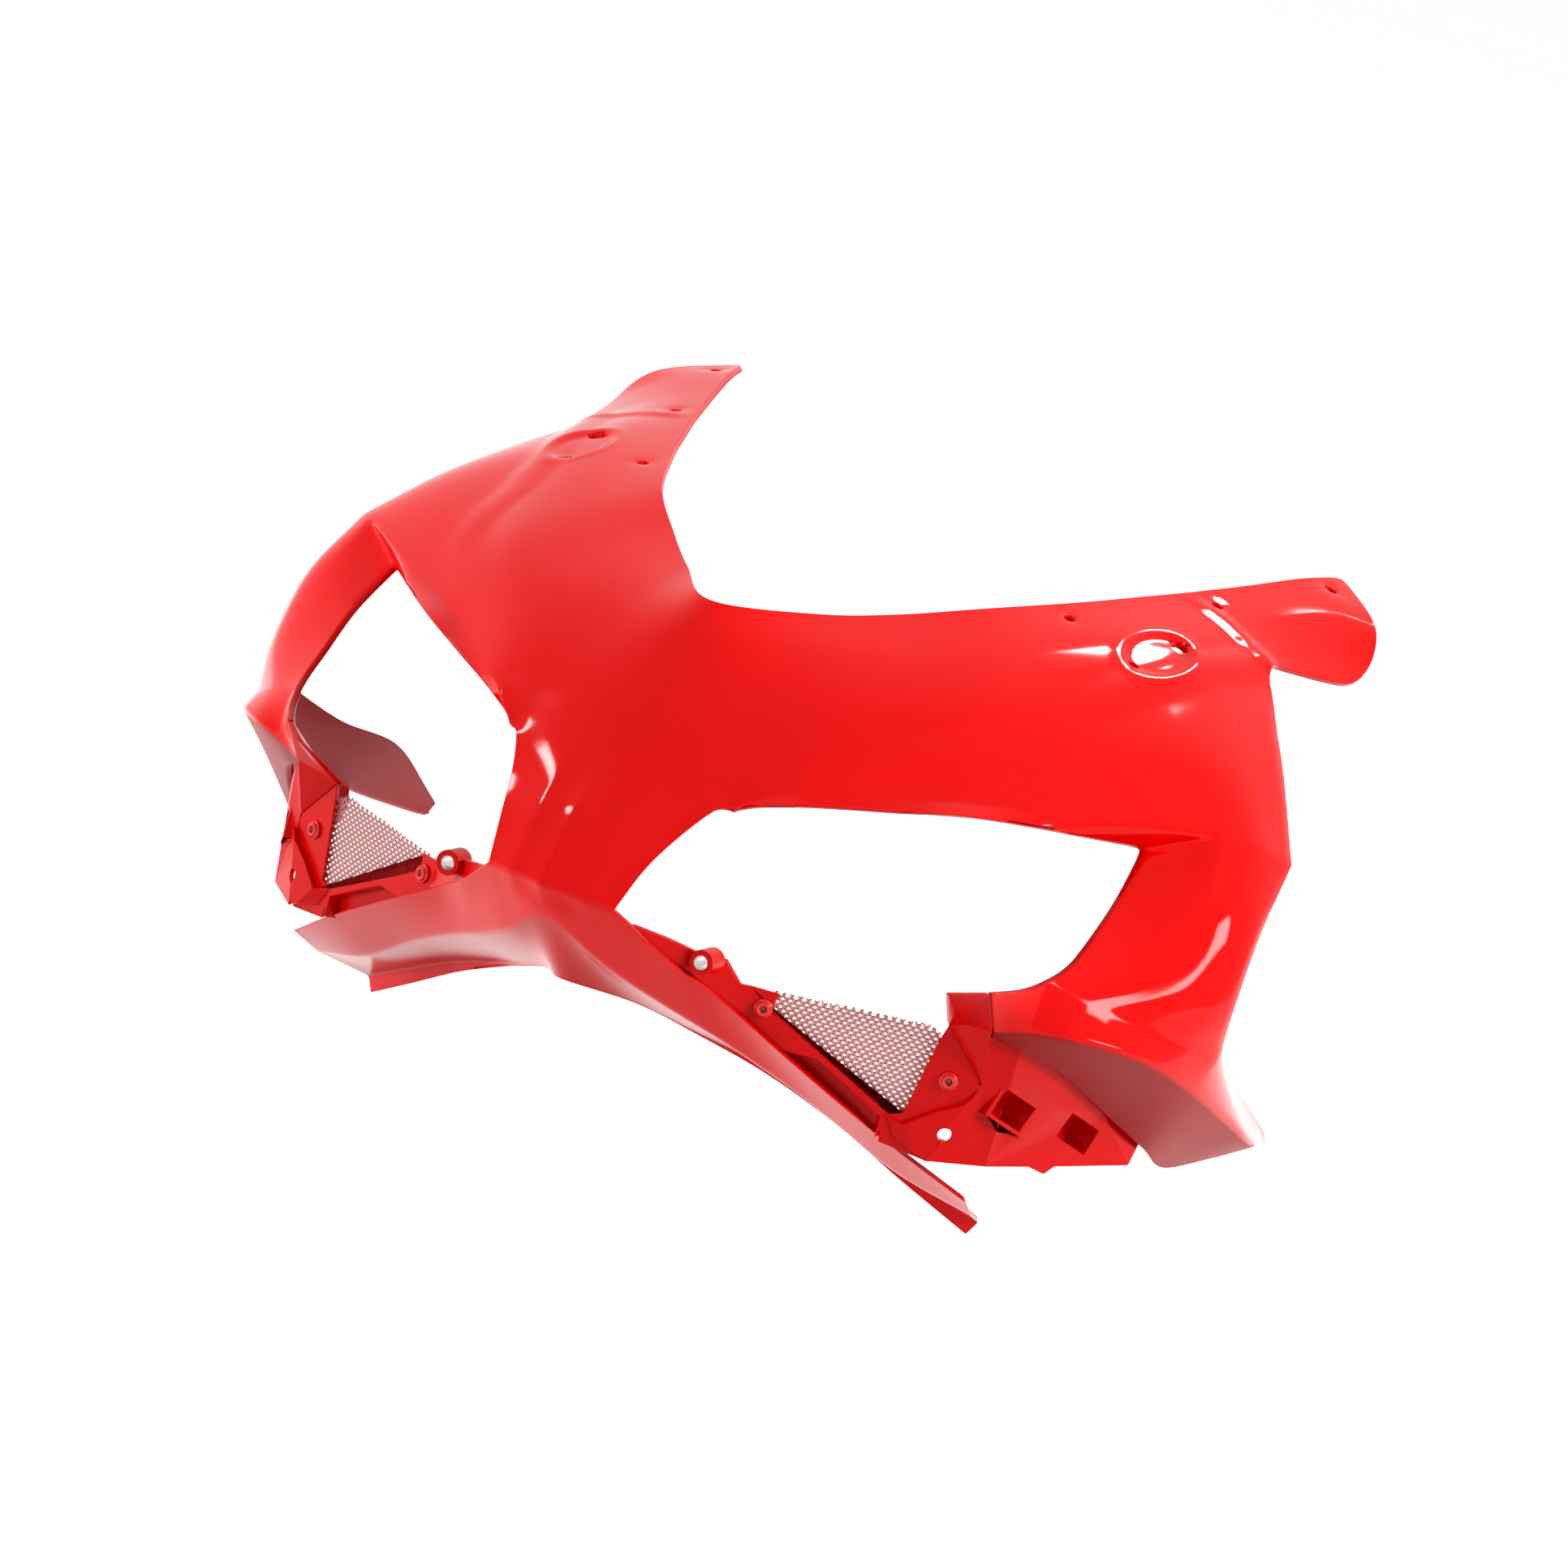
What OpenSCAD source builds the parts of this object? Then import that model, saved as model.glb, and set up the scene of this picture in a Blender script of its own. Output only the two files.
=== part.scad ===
// Upper front fairing of a sport motorcycle: a one-piece moulded skin with two large
// front openings, a folded duct panel with a mesh grille under each, and their screws.
// The nose points to -Y, +X is the rider's left, +Z is up. The origin lies midway
// between the two eyelets that fix the fairing to its front bracket.

/* [Walls and clearances] */
// Wall of the moulded skin
skin_wall = 3; // [2:0.1:4.5]
// Wall of the duct panels
duct_wall = 2.6; // [1.8:0.1:3.4]
// Gap between a duct panel and the skin that it tucks behind
seat_gap = 0.3; // [0.1:0.05:0.8]

/* [Nose and screen edge] */
// Screen notch, back from the foot of the nose
notch_back = 99; // [85:1:115]
// Screen notch, up from the foot of the nose
notch_up = 129; // [118:1:140]
// Top of the nose ridge, back from its foot
ridge_back = 39; // [32:1:46]
// Top of the nose ridge, up from its foot
ridge_up = 58; // [50:1:66]
// Half width of the nose strip at its foot
foot_half = 33; // [27:1:38]
// Setback of the nose strip's side at its foot
foot_back = 12; // [8:1:16]
// Half width of the nose strip where the openings begin
nose_half = 55; // [49:1:60]
// Half width at the root of the ear, on the screen edge
ear_root_half = 136; // [126:1:146]
// Root of the ear, back from the foot of the nose
ear_root_back = 334; // [322:1:345]
// Root of the ear, up from the foot of the nose
ear_root_up = 165; // [158:1:172]
// Half width at the tip of the ear
ear_tip_half = 171; // [162:1:180]
// Tip of the ear, back from the foot of the nose
ear_tip_back = 457; // [440:1:475]
// Tip of the ear, up from the foot of the nose
ear_tip_up = 178; // [170:1:186]

/* [Openings and sides] */
// Half width at the outer top corner of an opening
corner_half = 204; // [196:1:210]
// Outer top corner of an opening, back from the foot of the nose
corner_back = 190; // [180:1:200]
// Outer top corner of an opening, up from the foot of the nose
corner_up = 72; // [66:1:78]
// Width of the brim over the middle of an opening
brim_depth = 14; // [9:1:18]
// Half width of the shoulder where the ear begins
shoulder_half = 186; // [178:1:194]
// Height of the shoulder where the ear begins
shoulder_up = 147; // [141:1:153]
// Greatest half width, at the waist of the side
waist_half = 264; // [256:1:272]
// Waist of the side's rear edge, back from the foot of the nose
waist_back = 207; // [198:1:216]
// Depth of the opening's outer lower corner above the foot of the nose
sill_up = 11; // [6:1:16]

/* [Wing and chin] */
// Half width at the tip of the wing
wing_tip_half = 241; // [232:1:250]
// Tip of the wing, back from the foot of the nose
wing_tip_back = 386; // [370:1:402]
// Tip of the wing, down from the foot of the nose
wing_tip_down = 88; // [80:1:96]
// Half width at the end of the chin
chin_half = 184; // [174:1:194]
// Front corner of the chin's end, back from the foot of the nose
chin_back = 148; // [138:1:158]
// Front corner of the chin's end, down from the foot of the nose
chin_down = 105; // [96:1:114]
// Depth of the chin's lower face at the end
chin_depth = 44; // [34:1:54]

/* [Fixings] */
// Half distance between the two front eyelets
eyelet_half = 67; // [62:1:72]
// Eyelets, back from the foot of the nose
eyelet_back = 51; // [48:1:54]
// Eyelets, down from the foot of the nose
eyelet_down = 18; // [15:1:21]
// Bore of a front eyelet
eyelet_bore = 6.4; // [5:0.2:8]
// Outside diameter of a front eyelet
eyelet_outside = 12; // [10.5:0.5:14]
// Length of a front eyelet
eyelet_length = 14; // [13:0.5:18]
// Holes for the screen screws
screen_hole = 5.2; // [4:0.2:7]
// Larger hole of a mirror foot
mirror_hole = 8; // [6.6:0.2:9]
// Smaller hole of a mirror foot
mirror_pin_hole = 5; // [4:0.2:6.4]
// Hole at the inner end of a duct bracket
bracket_hole = 6.6; // [5:0.2:8]
// Holes in the pockets of a duct bracket
pocket_hole = 5.2; // [4:0.2:6.4]

/* [Mesh and screws] */
// Thickness of a mesh
mesh_wall = 1.2; // [0.9:0.1:1.8]
// Width of a gap in the mesh
gap_width = 4.6; // [3.6:0.1:5]
// Height of a gap in the mesh
gap_height = 3; // [2.2:0.1:3.4]
// Wire left between two gaps
wire = 0.9; // [0.7:0.1:1.3]
// Thread diameter of a mesh screw
screw_thread = 4; // [3:0.2:4.4]
// Head diameter of a mesh screw
screw_head = 9; // [7.5:0.5:10]
// Play of a mesh screw in its hole
screw_play = 0.3; // [0.2:0.05:0.5]

/* [Hidden] */
paint = "red";
mesh_tint = "rosybrown";
screw_tint = "dimgray";

// Steps between two design points of a curve, an even number
smooth_steps = 4;

// Curves and surfaces

// One cubic through b and c that leaves b and meets c smoothly
function span(a, b, c, d, t) =
    0.5 * (2 * b + (c - a) * t + (2 * a - 5 * b + 4 * c - d) * t * t
    + (3 * b - a - 3 * c + d) * t * t * t);

// A number rounded to a hundredth, so that shared edges meet exactly
function tidy(v) = round(v * 100) / 100;
function tidy_all(points) = [for (p = points) [tidy(p[0]), tidy(p[1]), tidy(p[2])]];

// A smooth curve through the points, with steps[k] steps from point k to the next. A halved
// one is the left half of a curve that crosses the middle without a fold
function curve(p, steps, halved = false) =
    let (last = len(p) - 1)
    let (q = concat([halved ? flip(p[1]) : 2 * p[0] - p[1]], p, [2 * p[last] - p[last - 1]]))
    tidy_all(concat(
        [for (k = [0:last - 1]) for (i = [0:steps[k] - 1])
            span(q[k], q[k + 1], q[k + 2], q[k + 3], i / steps[k])],
        [p[last]]));
function even(n, count) = [for (i = [1:count]) n];

// The part of a list from index a to index b
function slice(list, a, b) = [for (i = [a:b]) list[i]];
function reverse(list) = [for (i = [len(list) - 1:-1:0]) list[i]];
function transpose(m) = [for (i = [0:len(m[0]) - 1]) [for (row = m) row[i]]];

// A surface through sampled curves, with n steps from one curve to the next
function loft(rows, n) = transpose([for (line = transpose(rows)) curve(line, even(n, len(rows) - 1))]);

// Points between a and b, each at a share t of the way and moved by [x, y, z]
function between(a, b, offsets) = [for (o = offsets) a + (b - a) * o[0] + [o[1], o[2], o[3]]];

// Key points of the left half, measured from the foot of the nose

notch = [0, notch_back, notch_up];
ridge_top = [0, ridge_back, ridge_up];
foot = [0, 0, 0];
foot_side = [foot_half, foot_back, -2];
nose_side = [nose_half, ridge_back + 11, ridge_up - 3];
ear_root = [ear_root_half, ear_root_back, ear_root_up];
ear_tip = [ear_tip_half, ear_tip_back, ear_tip_up];
shoulder = [shoulder_half, ear_root_back - 3, shoulder_up];
corner = [corner_half, corner_back, corner_up];
crease_corner = corner + [28, 19, 13];
waist = [waist_half, waist_back, 14];
rear_corner = waist + [-8, 45, 62];
sill_corner = [corner_half + 1, corner_back - 70, sill_up];
sill_inner = sill_corner + [-17, -30, -5];
wing_tip = [wing_tip_half, wing_tip_back, -wing_tip_down];
chin_end = [chin_half, chin_back, -chin_down];

// Brow: from the screen edge down to the crease above the openings

brow_share = [0.15, 0.3, 0.48, 0.7, 0.86];
crown_1 = notch + (ridge_top - notch) * 0.25 + [0, 0, 5];
crown_2 = notch + (ridge_top - notch) * 0.48 + [0, 0, 5];
crown_3 = notch + (ridge_top - notch) * 0.74 + [0, 0, 4];
rear_1 = (ear_root + shoulder) / 2 + [1, 1, 2];
rear_3 = shoulder + (rear_corner - shoulder) * 0.5 + [1, -1, 6];
function brow_row(a, b, moves) =
    concat([a], [for (k = [0:4]) a + (b - a) * brow_share[k] + moves[k]], [b]);
brow_steps = even(smooth_steps, 6);
screen_edge = brow_row(notch, ear_root, [[14, 8, -3], [19, 5, -2], [23, 0, 2], [17, 3, 2], [8, 1, 1]]);
brow_1 = brow_row(crown_1, rear_1, [[18, -9, -4], [27, -19, -5], [32, -26, -3], [27, -24, -1], [17, -14, 0]]);
brow_2 = brow_row(crown_2, shoulder, [[19, -21, -5], [30, -36, -6], [37, -45, -6], [26, -49, -7], [16, -32, -2]]);
brow_3 = brow_row(crown_3, rear_3, [[19, -23, -6], [17, -38, -3], [15, -45, -1], [3, -55, -1], [15, -31, 2]]);
crease = concat(
    [ridge_top, nose_side],
    between(nose_side, crease_corner, [[0.14, 0, -6, 7], [0.34, 0, -5, 8], [0.54, 0, -4, 8]]),
    [crease_corner, rear_corner]);
brow_drop = 3;
brow = loft([for (row = [screen_edge, brow_1, brow_2, brow_3, crease]) curve(row, brow_steps, true)], brow_drop);
brow_last = brow[4 * brow_drop];

// Brim: the narrow band between the crease and the top edge of an opening

opening_top = curve([
    nose_side + [3, 3, -2],
    crease[2] + [6, 4, -5],
    crease[3] + [4, -6, -5],
    crease[4] + [1, 1 - brim_depth, -5],
    corner], even(smooth_steps, 4));
brim = loft([slice(brow_last, smooth_steps, 5 * smooth_steps), opening_top], 2);

// Nose: the strip between the openings, folded along its centre

nose_1 = [crown(ridge_top, foot, 0.36, 6), crown(nose_side, foot_side, 0.32, 0) - [3, 2, 0]];
nose_2 = [crown(ridge_top, foot, 0.66, 8), crown(nose_side, foot_side, 0.63, 0) - [3, 4, 0]];
function crown(a, b, share, rise) = a + (b - a) * share + [0, 0, rise];
nose = loft([
    slice(brow_last, 0, smooth_steps),
    curve(nose_1, [smooth_steps], true),
    curve(nose_2, [smooth_steps], true),
    curve([foot, foot_side], [smooth_steps], true)], 3);
nose_last = nose[9];

// Side: from the outer edge of an opening round to the rear edge

front_1 = corner + (sill_corner - corner) * 0.36 + [3, 0, 0];
front_2 = corner + (sill_corner - corner) * 0.69 + [2, 0, -2];
side_steps = [2, smooth_steps / 2, smooth_steps / 2];
side_top = concat(
    reverse(slice([for (row = brim) row[4 * smooth_steps]], 1, 2)),
    slice(brow_last, 5 * smooth_steps, 6 * smooth_steps));
side_1 = curve([front_1, front_1 + [33, 25, 5], front_1 + [47, 40, 2], waist + [-3, 15, 34]], side_steps);
side_2 = curve([front_2, front_2 + [36, 30, -5], front_2 + [50, 48, -11], waist], side_steps);
side_3 = curve([
    sill_corner,
    sill_corner + [23, 24, -7],
    sill_corner + [45, 56, -17],
    waist + [-2, 6, -22]], side_steps);
side = loft([side_top, side_1, side_2, side_3], 3);
side_last = side[9];

// Wing: the flared foot of the side with its swept tail

wing_corner = wing_tip + [-5, -78, 46];
wing_top = concat(
    curve([sill_inner, sill_corner], [2]),
    slice(side_last, 1, len(side_last) - 1),
    slice(curve([waist + [-2, 6, -22], waist + [-14, 55, -43], wing_corner, wing_tip + [-1, -4, 6]], [3, 3, 3]), 1, 9));
wing_fold = [
    sill_inner + [-1, 20, -21],
    sill_corner + [-2, -6, -21],
    sill_corner + [17, 4, -19],
    sill_corner + [40, 35, -24],
    waist + [-7, -7, -43],
    waist + [-4, 55, -67],
    wing_tip + [17, -72, 15],
    wing_tip + [2, 0, -2]];
wing_steps = [2, 2, smooth_steps / 2, smooth_steps / 2, 3, 3, 3];
fold_line = curve(wing_fold, wing_steps);
wing = loft([wing_top, fold_line], 2);

// Under-band: the strip turned in below the wing's fold

band_edge = curve([
    wing_fold[0] + [-2, 4, -4],
    wing_fold[1] + [-4, 12, -13],
    wing_fold[2] + [-10, 28, -26],
    wing_fold[3] + [-20, 33, -40],
    wing_fold[4] + [-21, 18, -40],
    wing_fold[5] + [-24, -6, -31],
    wing_fold[6] + [-11, -18, -7]], slice(wing_steps, 0, 5));
band = loft([slice(fold_line, 0, len(band_edge) - 1), band_edge], 2);

// Ear: the tab that carries the rear of the screen

ear_steps = [brow_drop, brow_drop];
ear = transpose(loft([
    [for (j = [0:2 * brow_drop]) brow[j][6 * smooth_steps]],
    curve([between(ear_root, ear_tip, [[0.38, 1, 0, 1]])[0], shoulder + [-14, 41, 15], shoulder + [10, 21, -3]], ear_steps),
    curve([between(ear_root, ear_tip, [[0.72, 1, 0, 2]])[0], shoulder + [3, 78, 18], shoulder + [24, 49, -6]], ear_steps),
    curve([ear_tip, ear_tip + [34, -30, -14], ear_tip + [45, -55, -37]], ear_steps)], 3));

// Chin: the lip below the nose that sweeps out under the ducts

chin_steps = concat([smooth_steps], even(3, 5));
lip = concat(nose_last, slice(curve([
    foot_side,
    foot_side + [21, 24, -18],
    foot_side + [42, 46, -32],
    foot_side + [76, 67, -53],
    foot_side + [115, 97, -78],
    chin_end], even(3, 5)), 1, 15));
fold = [
    foot + [0, 14, -16],
    foot_side + [-8, 25, -32],
    foot_side + [15, 48, -45],
    foot_side + [43, 74, -59],
    foot_side + [77, 106, -79],
    foot_side + [112, 136, -102],
    chin_end + [-4, 24, -12]];
keel = [
    foot + [0, 53, -51],
    foot_side + [-9, 76, -56.5],
    foot_side + [14, 103, -66.5],
    foot_side + [41, 134, -78.5],
    foot_side + [72, 157, -92],
    foot_side + [107, 180, -111],
    chin_end + [-14, chin_depth + 22, -26]];
flange_drop = [
    [0, 0, -0.5],
    [0, 0, -0.3],
    [-0.5, 0, -0.8],
    [-1.5, -1, -2.5],
    [-2.5, -1, -5],
    [-4, -1, -7],
    [-4, -1, -7.5]];
chin_fold = curve(fold, chin_steps, true);
chin_keel = curve(keel, chin_steps, true);
chin_front = loft([lip, chin_fold], 3);
chin_under = loft([chin_fold, chin_keel], 3);
chin_flange = loft([chin_keel, curve(keel + flange_drop, chin_steps, true)], 1);

// Rounded corners of the skin's edges: each corner, how far it gives way and how far that reaches
eased_corners = [
    [ear_tip, [0.8, -2.8, -0.7], 12],
    [ear_tip + [45, -55, -37], [-2.5, -1.2, 2.9], 18],
    [shoulder, [3.8, 0.5, -2.3], 15],
    [sill_corner, [-2.6, -0.3, 3.1], 23],
    [corner, [-0.4, -1.3, -0.5], 10],
    [nose_side + [3, 3, -2], [1.3, -0.5, -1.4], 16],
    [wing_tip, [0.4, -4.6, 1.8], 16]];
function give(p, c) = c[1] * pow(max(0, 1 - norm(p - c[0]) / c[2]), 2);
function sum(v, k = 0) = k == len(v) - 1 ? v[k] : v[k] + sum(v, k + 1);
function eased(grid) = [for (row = grid) tidy_all([for (p = row) p + sum([for (c = eased_corners) give(p, c)])])];

// Solids from surfaces

// From a point of the skin towards its inside
function inward(p) = let (d = [-0.6 * p[0], 60, 10 - p[2]]) d / norm(d);
function inner(grid, wall) = [for (row = grid) tidy_all([for (p = row) p + inward(p) * wall * 1.15])];

// Corner numbers of the walls that close a sheet's free edges
function rim(a, b, back) = [[b, a, a + back], [b, a + back, b + back]];
function rims(rows, cols, free, back) = concat(
    [for (r = free[0]) for (i = [r[0]:r[1] - 1]) each rim(i, i + 1, back)],
    [for (r = free[1]) for (i = [r[0]:r[1] - 1]) each rim((rows - 1) * cols + i + 1, (rows - 1) * cols + i, back)],
    [for (r = free[2]) for (j = [r[0]:r[1] - 1]) each rim((j + 1) * cols, j * cols, back)],
    [for (r = free[3]) for (j = [r[0]:r[1] - 1]) each rim(j * cols + cols - 1, (j + 1) * cols + cols - 1, back)]);

// Triangles of one sheet, its inner face and its free edges; first is its first point's number
function sheet_faces(grid, free, first) =
    let (rows = len(grid), cols = len(grid[0]), back = rows * cols)
    [for (f = concat(
        [for (j = [0:rows - 2]) for (i = [0:cols - 2]) let (a = j * cols + i) each
            [[a, a + 1, a + cols + 1], [a, a + cols + 1, a + cols]]],
        [for (j = [0:rows - 2]) for (i = [0:cols - 2]) let (a = back + j * cols + i) each
            [[a, a + cols + 1, a + 1], [a, a + cols, a + cols + 1]]],
        rims(rows, cols, free, back))) [for (k = f) k + first]];
function sheet_points(grid, wall) = concat([for (row = grid) each row], [for (row = inner(grid, wall)) each row]);
function starts(sheets, k = 0, total = 0) = k == len(sheets) ? []
    : concat([total], starts(sheets, k + 1, total + 2 * len(sheets[k][0]) * len(sheets[k][0][0])));
function flip(p) = [p[0] == 0 ? 0 : -p[0], p[1], p[2]];

// Both halves of the skin as one closed solid
module mirrored_skin(sheets, wall) {
    first = starts(sheets);
    points = [for (s = sheets) each sheet_points(s[0], wall)];
    faces = [for (k = [0:len(sheets) - 1]) each sheet_faces(sheets[k][0], sheets[k][1], first[k])];
    count = len(points);
    polyhedron(
        points = concat(points, [for (p = points) flip(p)]),
        faces = concat(faces, [for (f = faces) [f[0] + count, f[2] + count, f[1] + count]]),
        convexity = 12);
}

// Each sheet with its free edges: top, bottom, left and right
function all_rows(grid) = [[0, len(grid) - 1]];
function all_cols(grid) = [[0, len(grid[0]) - 1]];
skin_sheets = [
    [eased(brow), [all_cols(brow), [], [], [[2 * brow_drop, 4 * brow_drop]]]],
    [eased(brim), [[], all_cols(brim), all_rows(brim), []]],
    [eased(nose), [[], [], [], all_rows(nose)]],
    [eased(side), [[], [], all_rows(side), all_rows(side)]],
    [eased(wing), [[[0, 2], [len(side_last) + 1, len(wing_top) - 1]],
        [[len(band_edge) - 1, len(wing_top) - 1]], all_rows(wing), all_rows(wing)]],
    [eased(band), [[], all_cols(band), all_rows(band), all_rows(band)]],
    [eased(ear), [all_cols(ear), all_cols(ear), [], all_rows(ear)]],
    [chin_front, [[[smooth_steps, len(lip) - 1]], [], [], all_rows(chin_front)]],
    [chin_under, [[], [], [], all_rows(chin_under)]],
    [chin_flange, [[], all_cols(chin_flange), [], all_rows(chin_flange)]]];

// Places the part's frame midway between the eyelets
module framed() {
    translate([0, -eyelet_back, eyelet_down])
        children();
}
module both_sides() {
    children();
    mirror([1, 0, 0])
        children();
}

// Holes through the brow: three for the screen and two for the mirror foot on each side
screen_spots = [ear_root + [-20, -89, -15], ear_root + [16, 10, 0], ear_tip + [5, -24, -2]];
mirror_spot = ear_root + [24, -53, -16];
mirror_pin_spot = ear_root + [19, -92, -23];
module brow_hole(spot, width) {
    translate(spot)
        rotate([0, 24, 0])
            cylinder(d = width, h = 44, center = true, $fn = 32);
}

module fairing_shell() {
    color(paint)
        framed()
            difference() {
                mirrored_skin(skin_sheets, skin_wall);
                both_sides() {
                    for (spot = screen_spots)
                        brow_hole(spot, screen_hole);
                    brow_hole(mirror_spot, mirror_hole);
                    brow_hole(mirror_pin_spot, mirror_pin_hole);
                }
            }
}

// Duct panel: a wall folded in plan carries the eyelet and frames the mesh, and a
// folded bracket runs from it to the back of the under-band

// Fold points of the wall's front face in plan
wall_plan = [
    foot_side + [5, 11.5, 0],
    foot_side + [25, 33, 0],
    foot_side + [51, 58, 0],
    sill_inner + [-5, 32, 0]];

// Square to the rear of the line from a to b
function rearward(a, b) = let (d = b - a) [-d[1], d[0]] / norm([d[0], d[1]]);
// The plan line moved rearwards by depth, with mitred folds
function moved_back(line, depth) = [for (k = [0:len(line) - 1])
    let (n1 = rearward(line[max(k - 1, 0)], line[max(k, 1)]))
    let (n2 = rearward(line[min(k, len(line) - 2)], line[min(k + 1, len(line) - 1)]))
    [line[k][0], line[k][1]] + (n1 + n2) * depth / (1 + n1 * n2)];

// The flat face that frames the mesh; a place on it is [along the face, down from the foot]
face_start = wall_plan[2];
face_way = rearward(face_start, wall_plan[3]);
face_turn = atan2(-face_way[0], face_way[1]);
function on_face(s, down) = face_start + [face_way[1] * s, -face_way[0] * s, -face_start[2] - down];
function in_front(s, down, front) = on_face(s, down) - [face_way[0], face_way[1], 0] * front;
module at_face(s, down) {
    translate(on_face(s, down))
        rotate([0, 0, face_turn])
            rotate([-90, 0, 0])
                children();
}

// Window of the mesh on that face, open at its top
window = [[12.5, 26.5], [83, 23.5], [88.8, 27], [82, 65], [76, 67], [10.3, 34]];
bracket_top = on_face(91, 19.7);
bracket_fold = on_face(113, 43);

// Upper and lower edges of the wall, seen from the front
function seen(p) = [p[0], p[2]];
// Half widths of the wall's foot, and its height there over the chin's upper edge
wall_foot = [[98, 0.4], [86, -0.2], [80, 0.3], [74, 1.2], [62, 1], [50, 0.5], [wall_plan[0][0], -0.8]];
wall_foot_end = [150, 3.6];
function over_lip(p) = [p[0], lookup(p[0], [for (q = lip) [q[0], q[2]]]) + p[1]];

// Drain slot between the wall's foot and the chin, closed by a channel behind it
slot_top = [[18, 46.5], [37, 49.9], [55, 58.9], [72.8, 68.3]];
slot_floor = [[72.8, 76.8], [56.5, 70.1], [36, 61], [20.5, 53.6], [18, 48]];
slot_wall = 1.6;
slot_depth = 7;
wall_outline = concat(
    [[wall_plan[0][0], -5], [wall_plan[1][0] - 8, -11], [wall_plan[1][0] + 3, 3 - eyelet_down],
        [eyelet_half + 5, 2 - eyelet_down], [wall_plan[2][0] - 5, -8 - eyelet_down]],
    [for (k = [0, 5, 4, 3, 2]) seen(on_face(window[k][0], window[k][1]))],
    [seen(bracket_top), seen(bracket_fold), seen(bracket_fold) - [12, 42]],
    [over_lip(wall_foot_end)],
    [for (k = [3:-1:0]) seen(on_face(slot_top[k][0], slot_top[k][1] + slot_wall / 2))],
    [for (place = wall_foot) over_lip(place)]);

module wall() {
    reach = waist_back;
    intersection() {
        translate([0, 0, -chin_down])
            linear_extrude(height = chin_down)
                polygon(concat([for (p = wall_plan) [p[0], p[1]]], reverse(moved_back(wall_plan, duct_wall))));
        rotate([90, 0, 0])
            translate([0, 0, -reach])
                linear_extrude(height = reach)
                    polygon(wall_outline);
    }
}

// The channel behind the slot, open towards the chin
module channel() {
    difference() {
        at_face(0, 0)
            linear_extrude(height = slot_depth + slot_wall)
                polygon(concat(
                    [slot_top[0] - [slot_wall, 0]], slot_top, [slot_top[3] + [slot_wall, 0]],
                    [slot_floor[0] + [slot_wall, 0]], slot_floor, [slot_floor[4] - [slot_wall, 0]]));
        at_face(0, slot_wall)
            translate([0, 0, -slot_wall])
                linear_extrude(height = slot_depth + slot_wall)
                    polygon(concat(slot_top, [for (p = slot_floor) p + [0, slot_depth]]));
    }
}

// A folded plate: its front and rear points, its triangles, and its rim as a loop of point numbers
module folded_plate(front, rear, faces, loop) {
    n = len(front);
    last = len(loop) - 1;
    polyhedron(
        points = concat(tidy_all(front), tidy_all(rear)),
        faces = concat(
            faces,
            [for (f = faces) [f[0] + n, f[2] + n, f[1] + n]],
            [for (k = [0:last]) each rim(loop[k], loop[(k + 1) % (last + 1)], n)]));
}

// A point behind the under-band, a share of the way from its edge to its fold
clear = skin_wall * 1.15 + seat_gap * 1.4;
function behind(k, share) =
    let (p = band_edge[k] + (fold_line[k] - band_edge[k]) * share)
    p + inward(p) * clear;

bracket_low = bracket_fold + [9, 11, -39];
bracket_end = bracket_fold + [49, 90, -34.5];
bracket_points = [
    sill_inner + [-14.5, -13.4, -4],
    sill_inner - [0.5, 0.5, 0.2],
    bracket_top,
    wing_fold[0] - [0.5, 0.5, 0.2],
    bracket_fold,
    behind(2, 0),
    behind(4, 0),
    behind(6, 0),
    behind(8, 0),
    behind(2, 0.2),
    behind(4, 0.2),
    behind(6, 0.2),
    behind(8, 0.2),
    bracket_fold - [12, 11, 41],
    bracket_low,
    bracket_end,
    band_edge[0] + inward(band_edge[0]) * clear - [0.9, 0.6, 0.6],
    in_front(97, 16.5, 7),
    bracket_low + (bracket_end - bracket_low) * 0.3 - [0, 0, 0.3],
    bracket_low + (bracket_end - bracket_low) * 0.42 - [0, 0, 4],
    bracket_low + (bracket_end - bracket_low) * 0.48 - [0, 0, 0.3]];
bracket_faces = [
    [0, 1, 17], [0, 17, 2], [1, 3, 17], [17, 3, 4], [2, 17, 4], [3, 16, 4], [16, 5, 4], [9, 10, 6], [9, 6, 5],
    [10, 11, 7], [10, 7, 6], [11, 12, 8], [11, 8, 7], [4, 5, 14], [5, 6, 14], [6, 7, 14], [7, 15, 20],
    [7, 20, 19], [7, 19, 18], [7, 18, 14], [7, 8, 15], [4, 14, 13]];
bracket_rim = [0, 1, 3, 16, 5, 9, 10, 11, 12, 8, 15, 20, 19, 18, 14, 13, 4, 2];

// Raised step below the mesh, around the hole at the bracket's inner end: along, down, in front
step_places = [
    [74.5, 67.5, 0.5], [83.2, 69.8, 3.5], [95.2, 60.6, 3.5], [106.8, 54.2, 3.5],
    [111, 49, 3.5], [98, 83, 3.5], [92.3, 81, 3.5], [80, 77, 0.5]];
step_faces = [[0, 1, 7], [1, 6, 7], [1, 2, 6], [2, 5, 6], [2, 3, 5], [3, 4, 5]];

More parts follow.
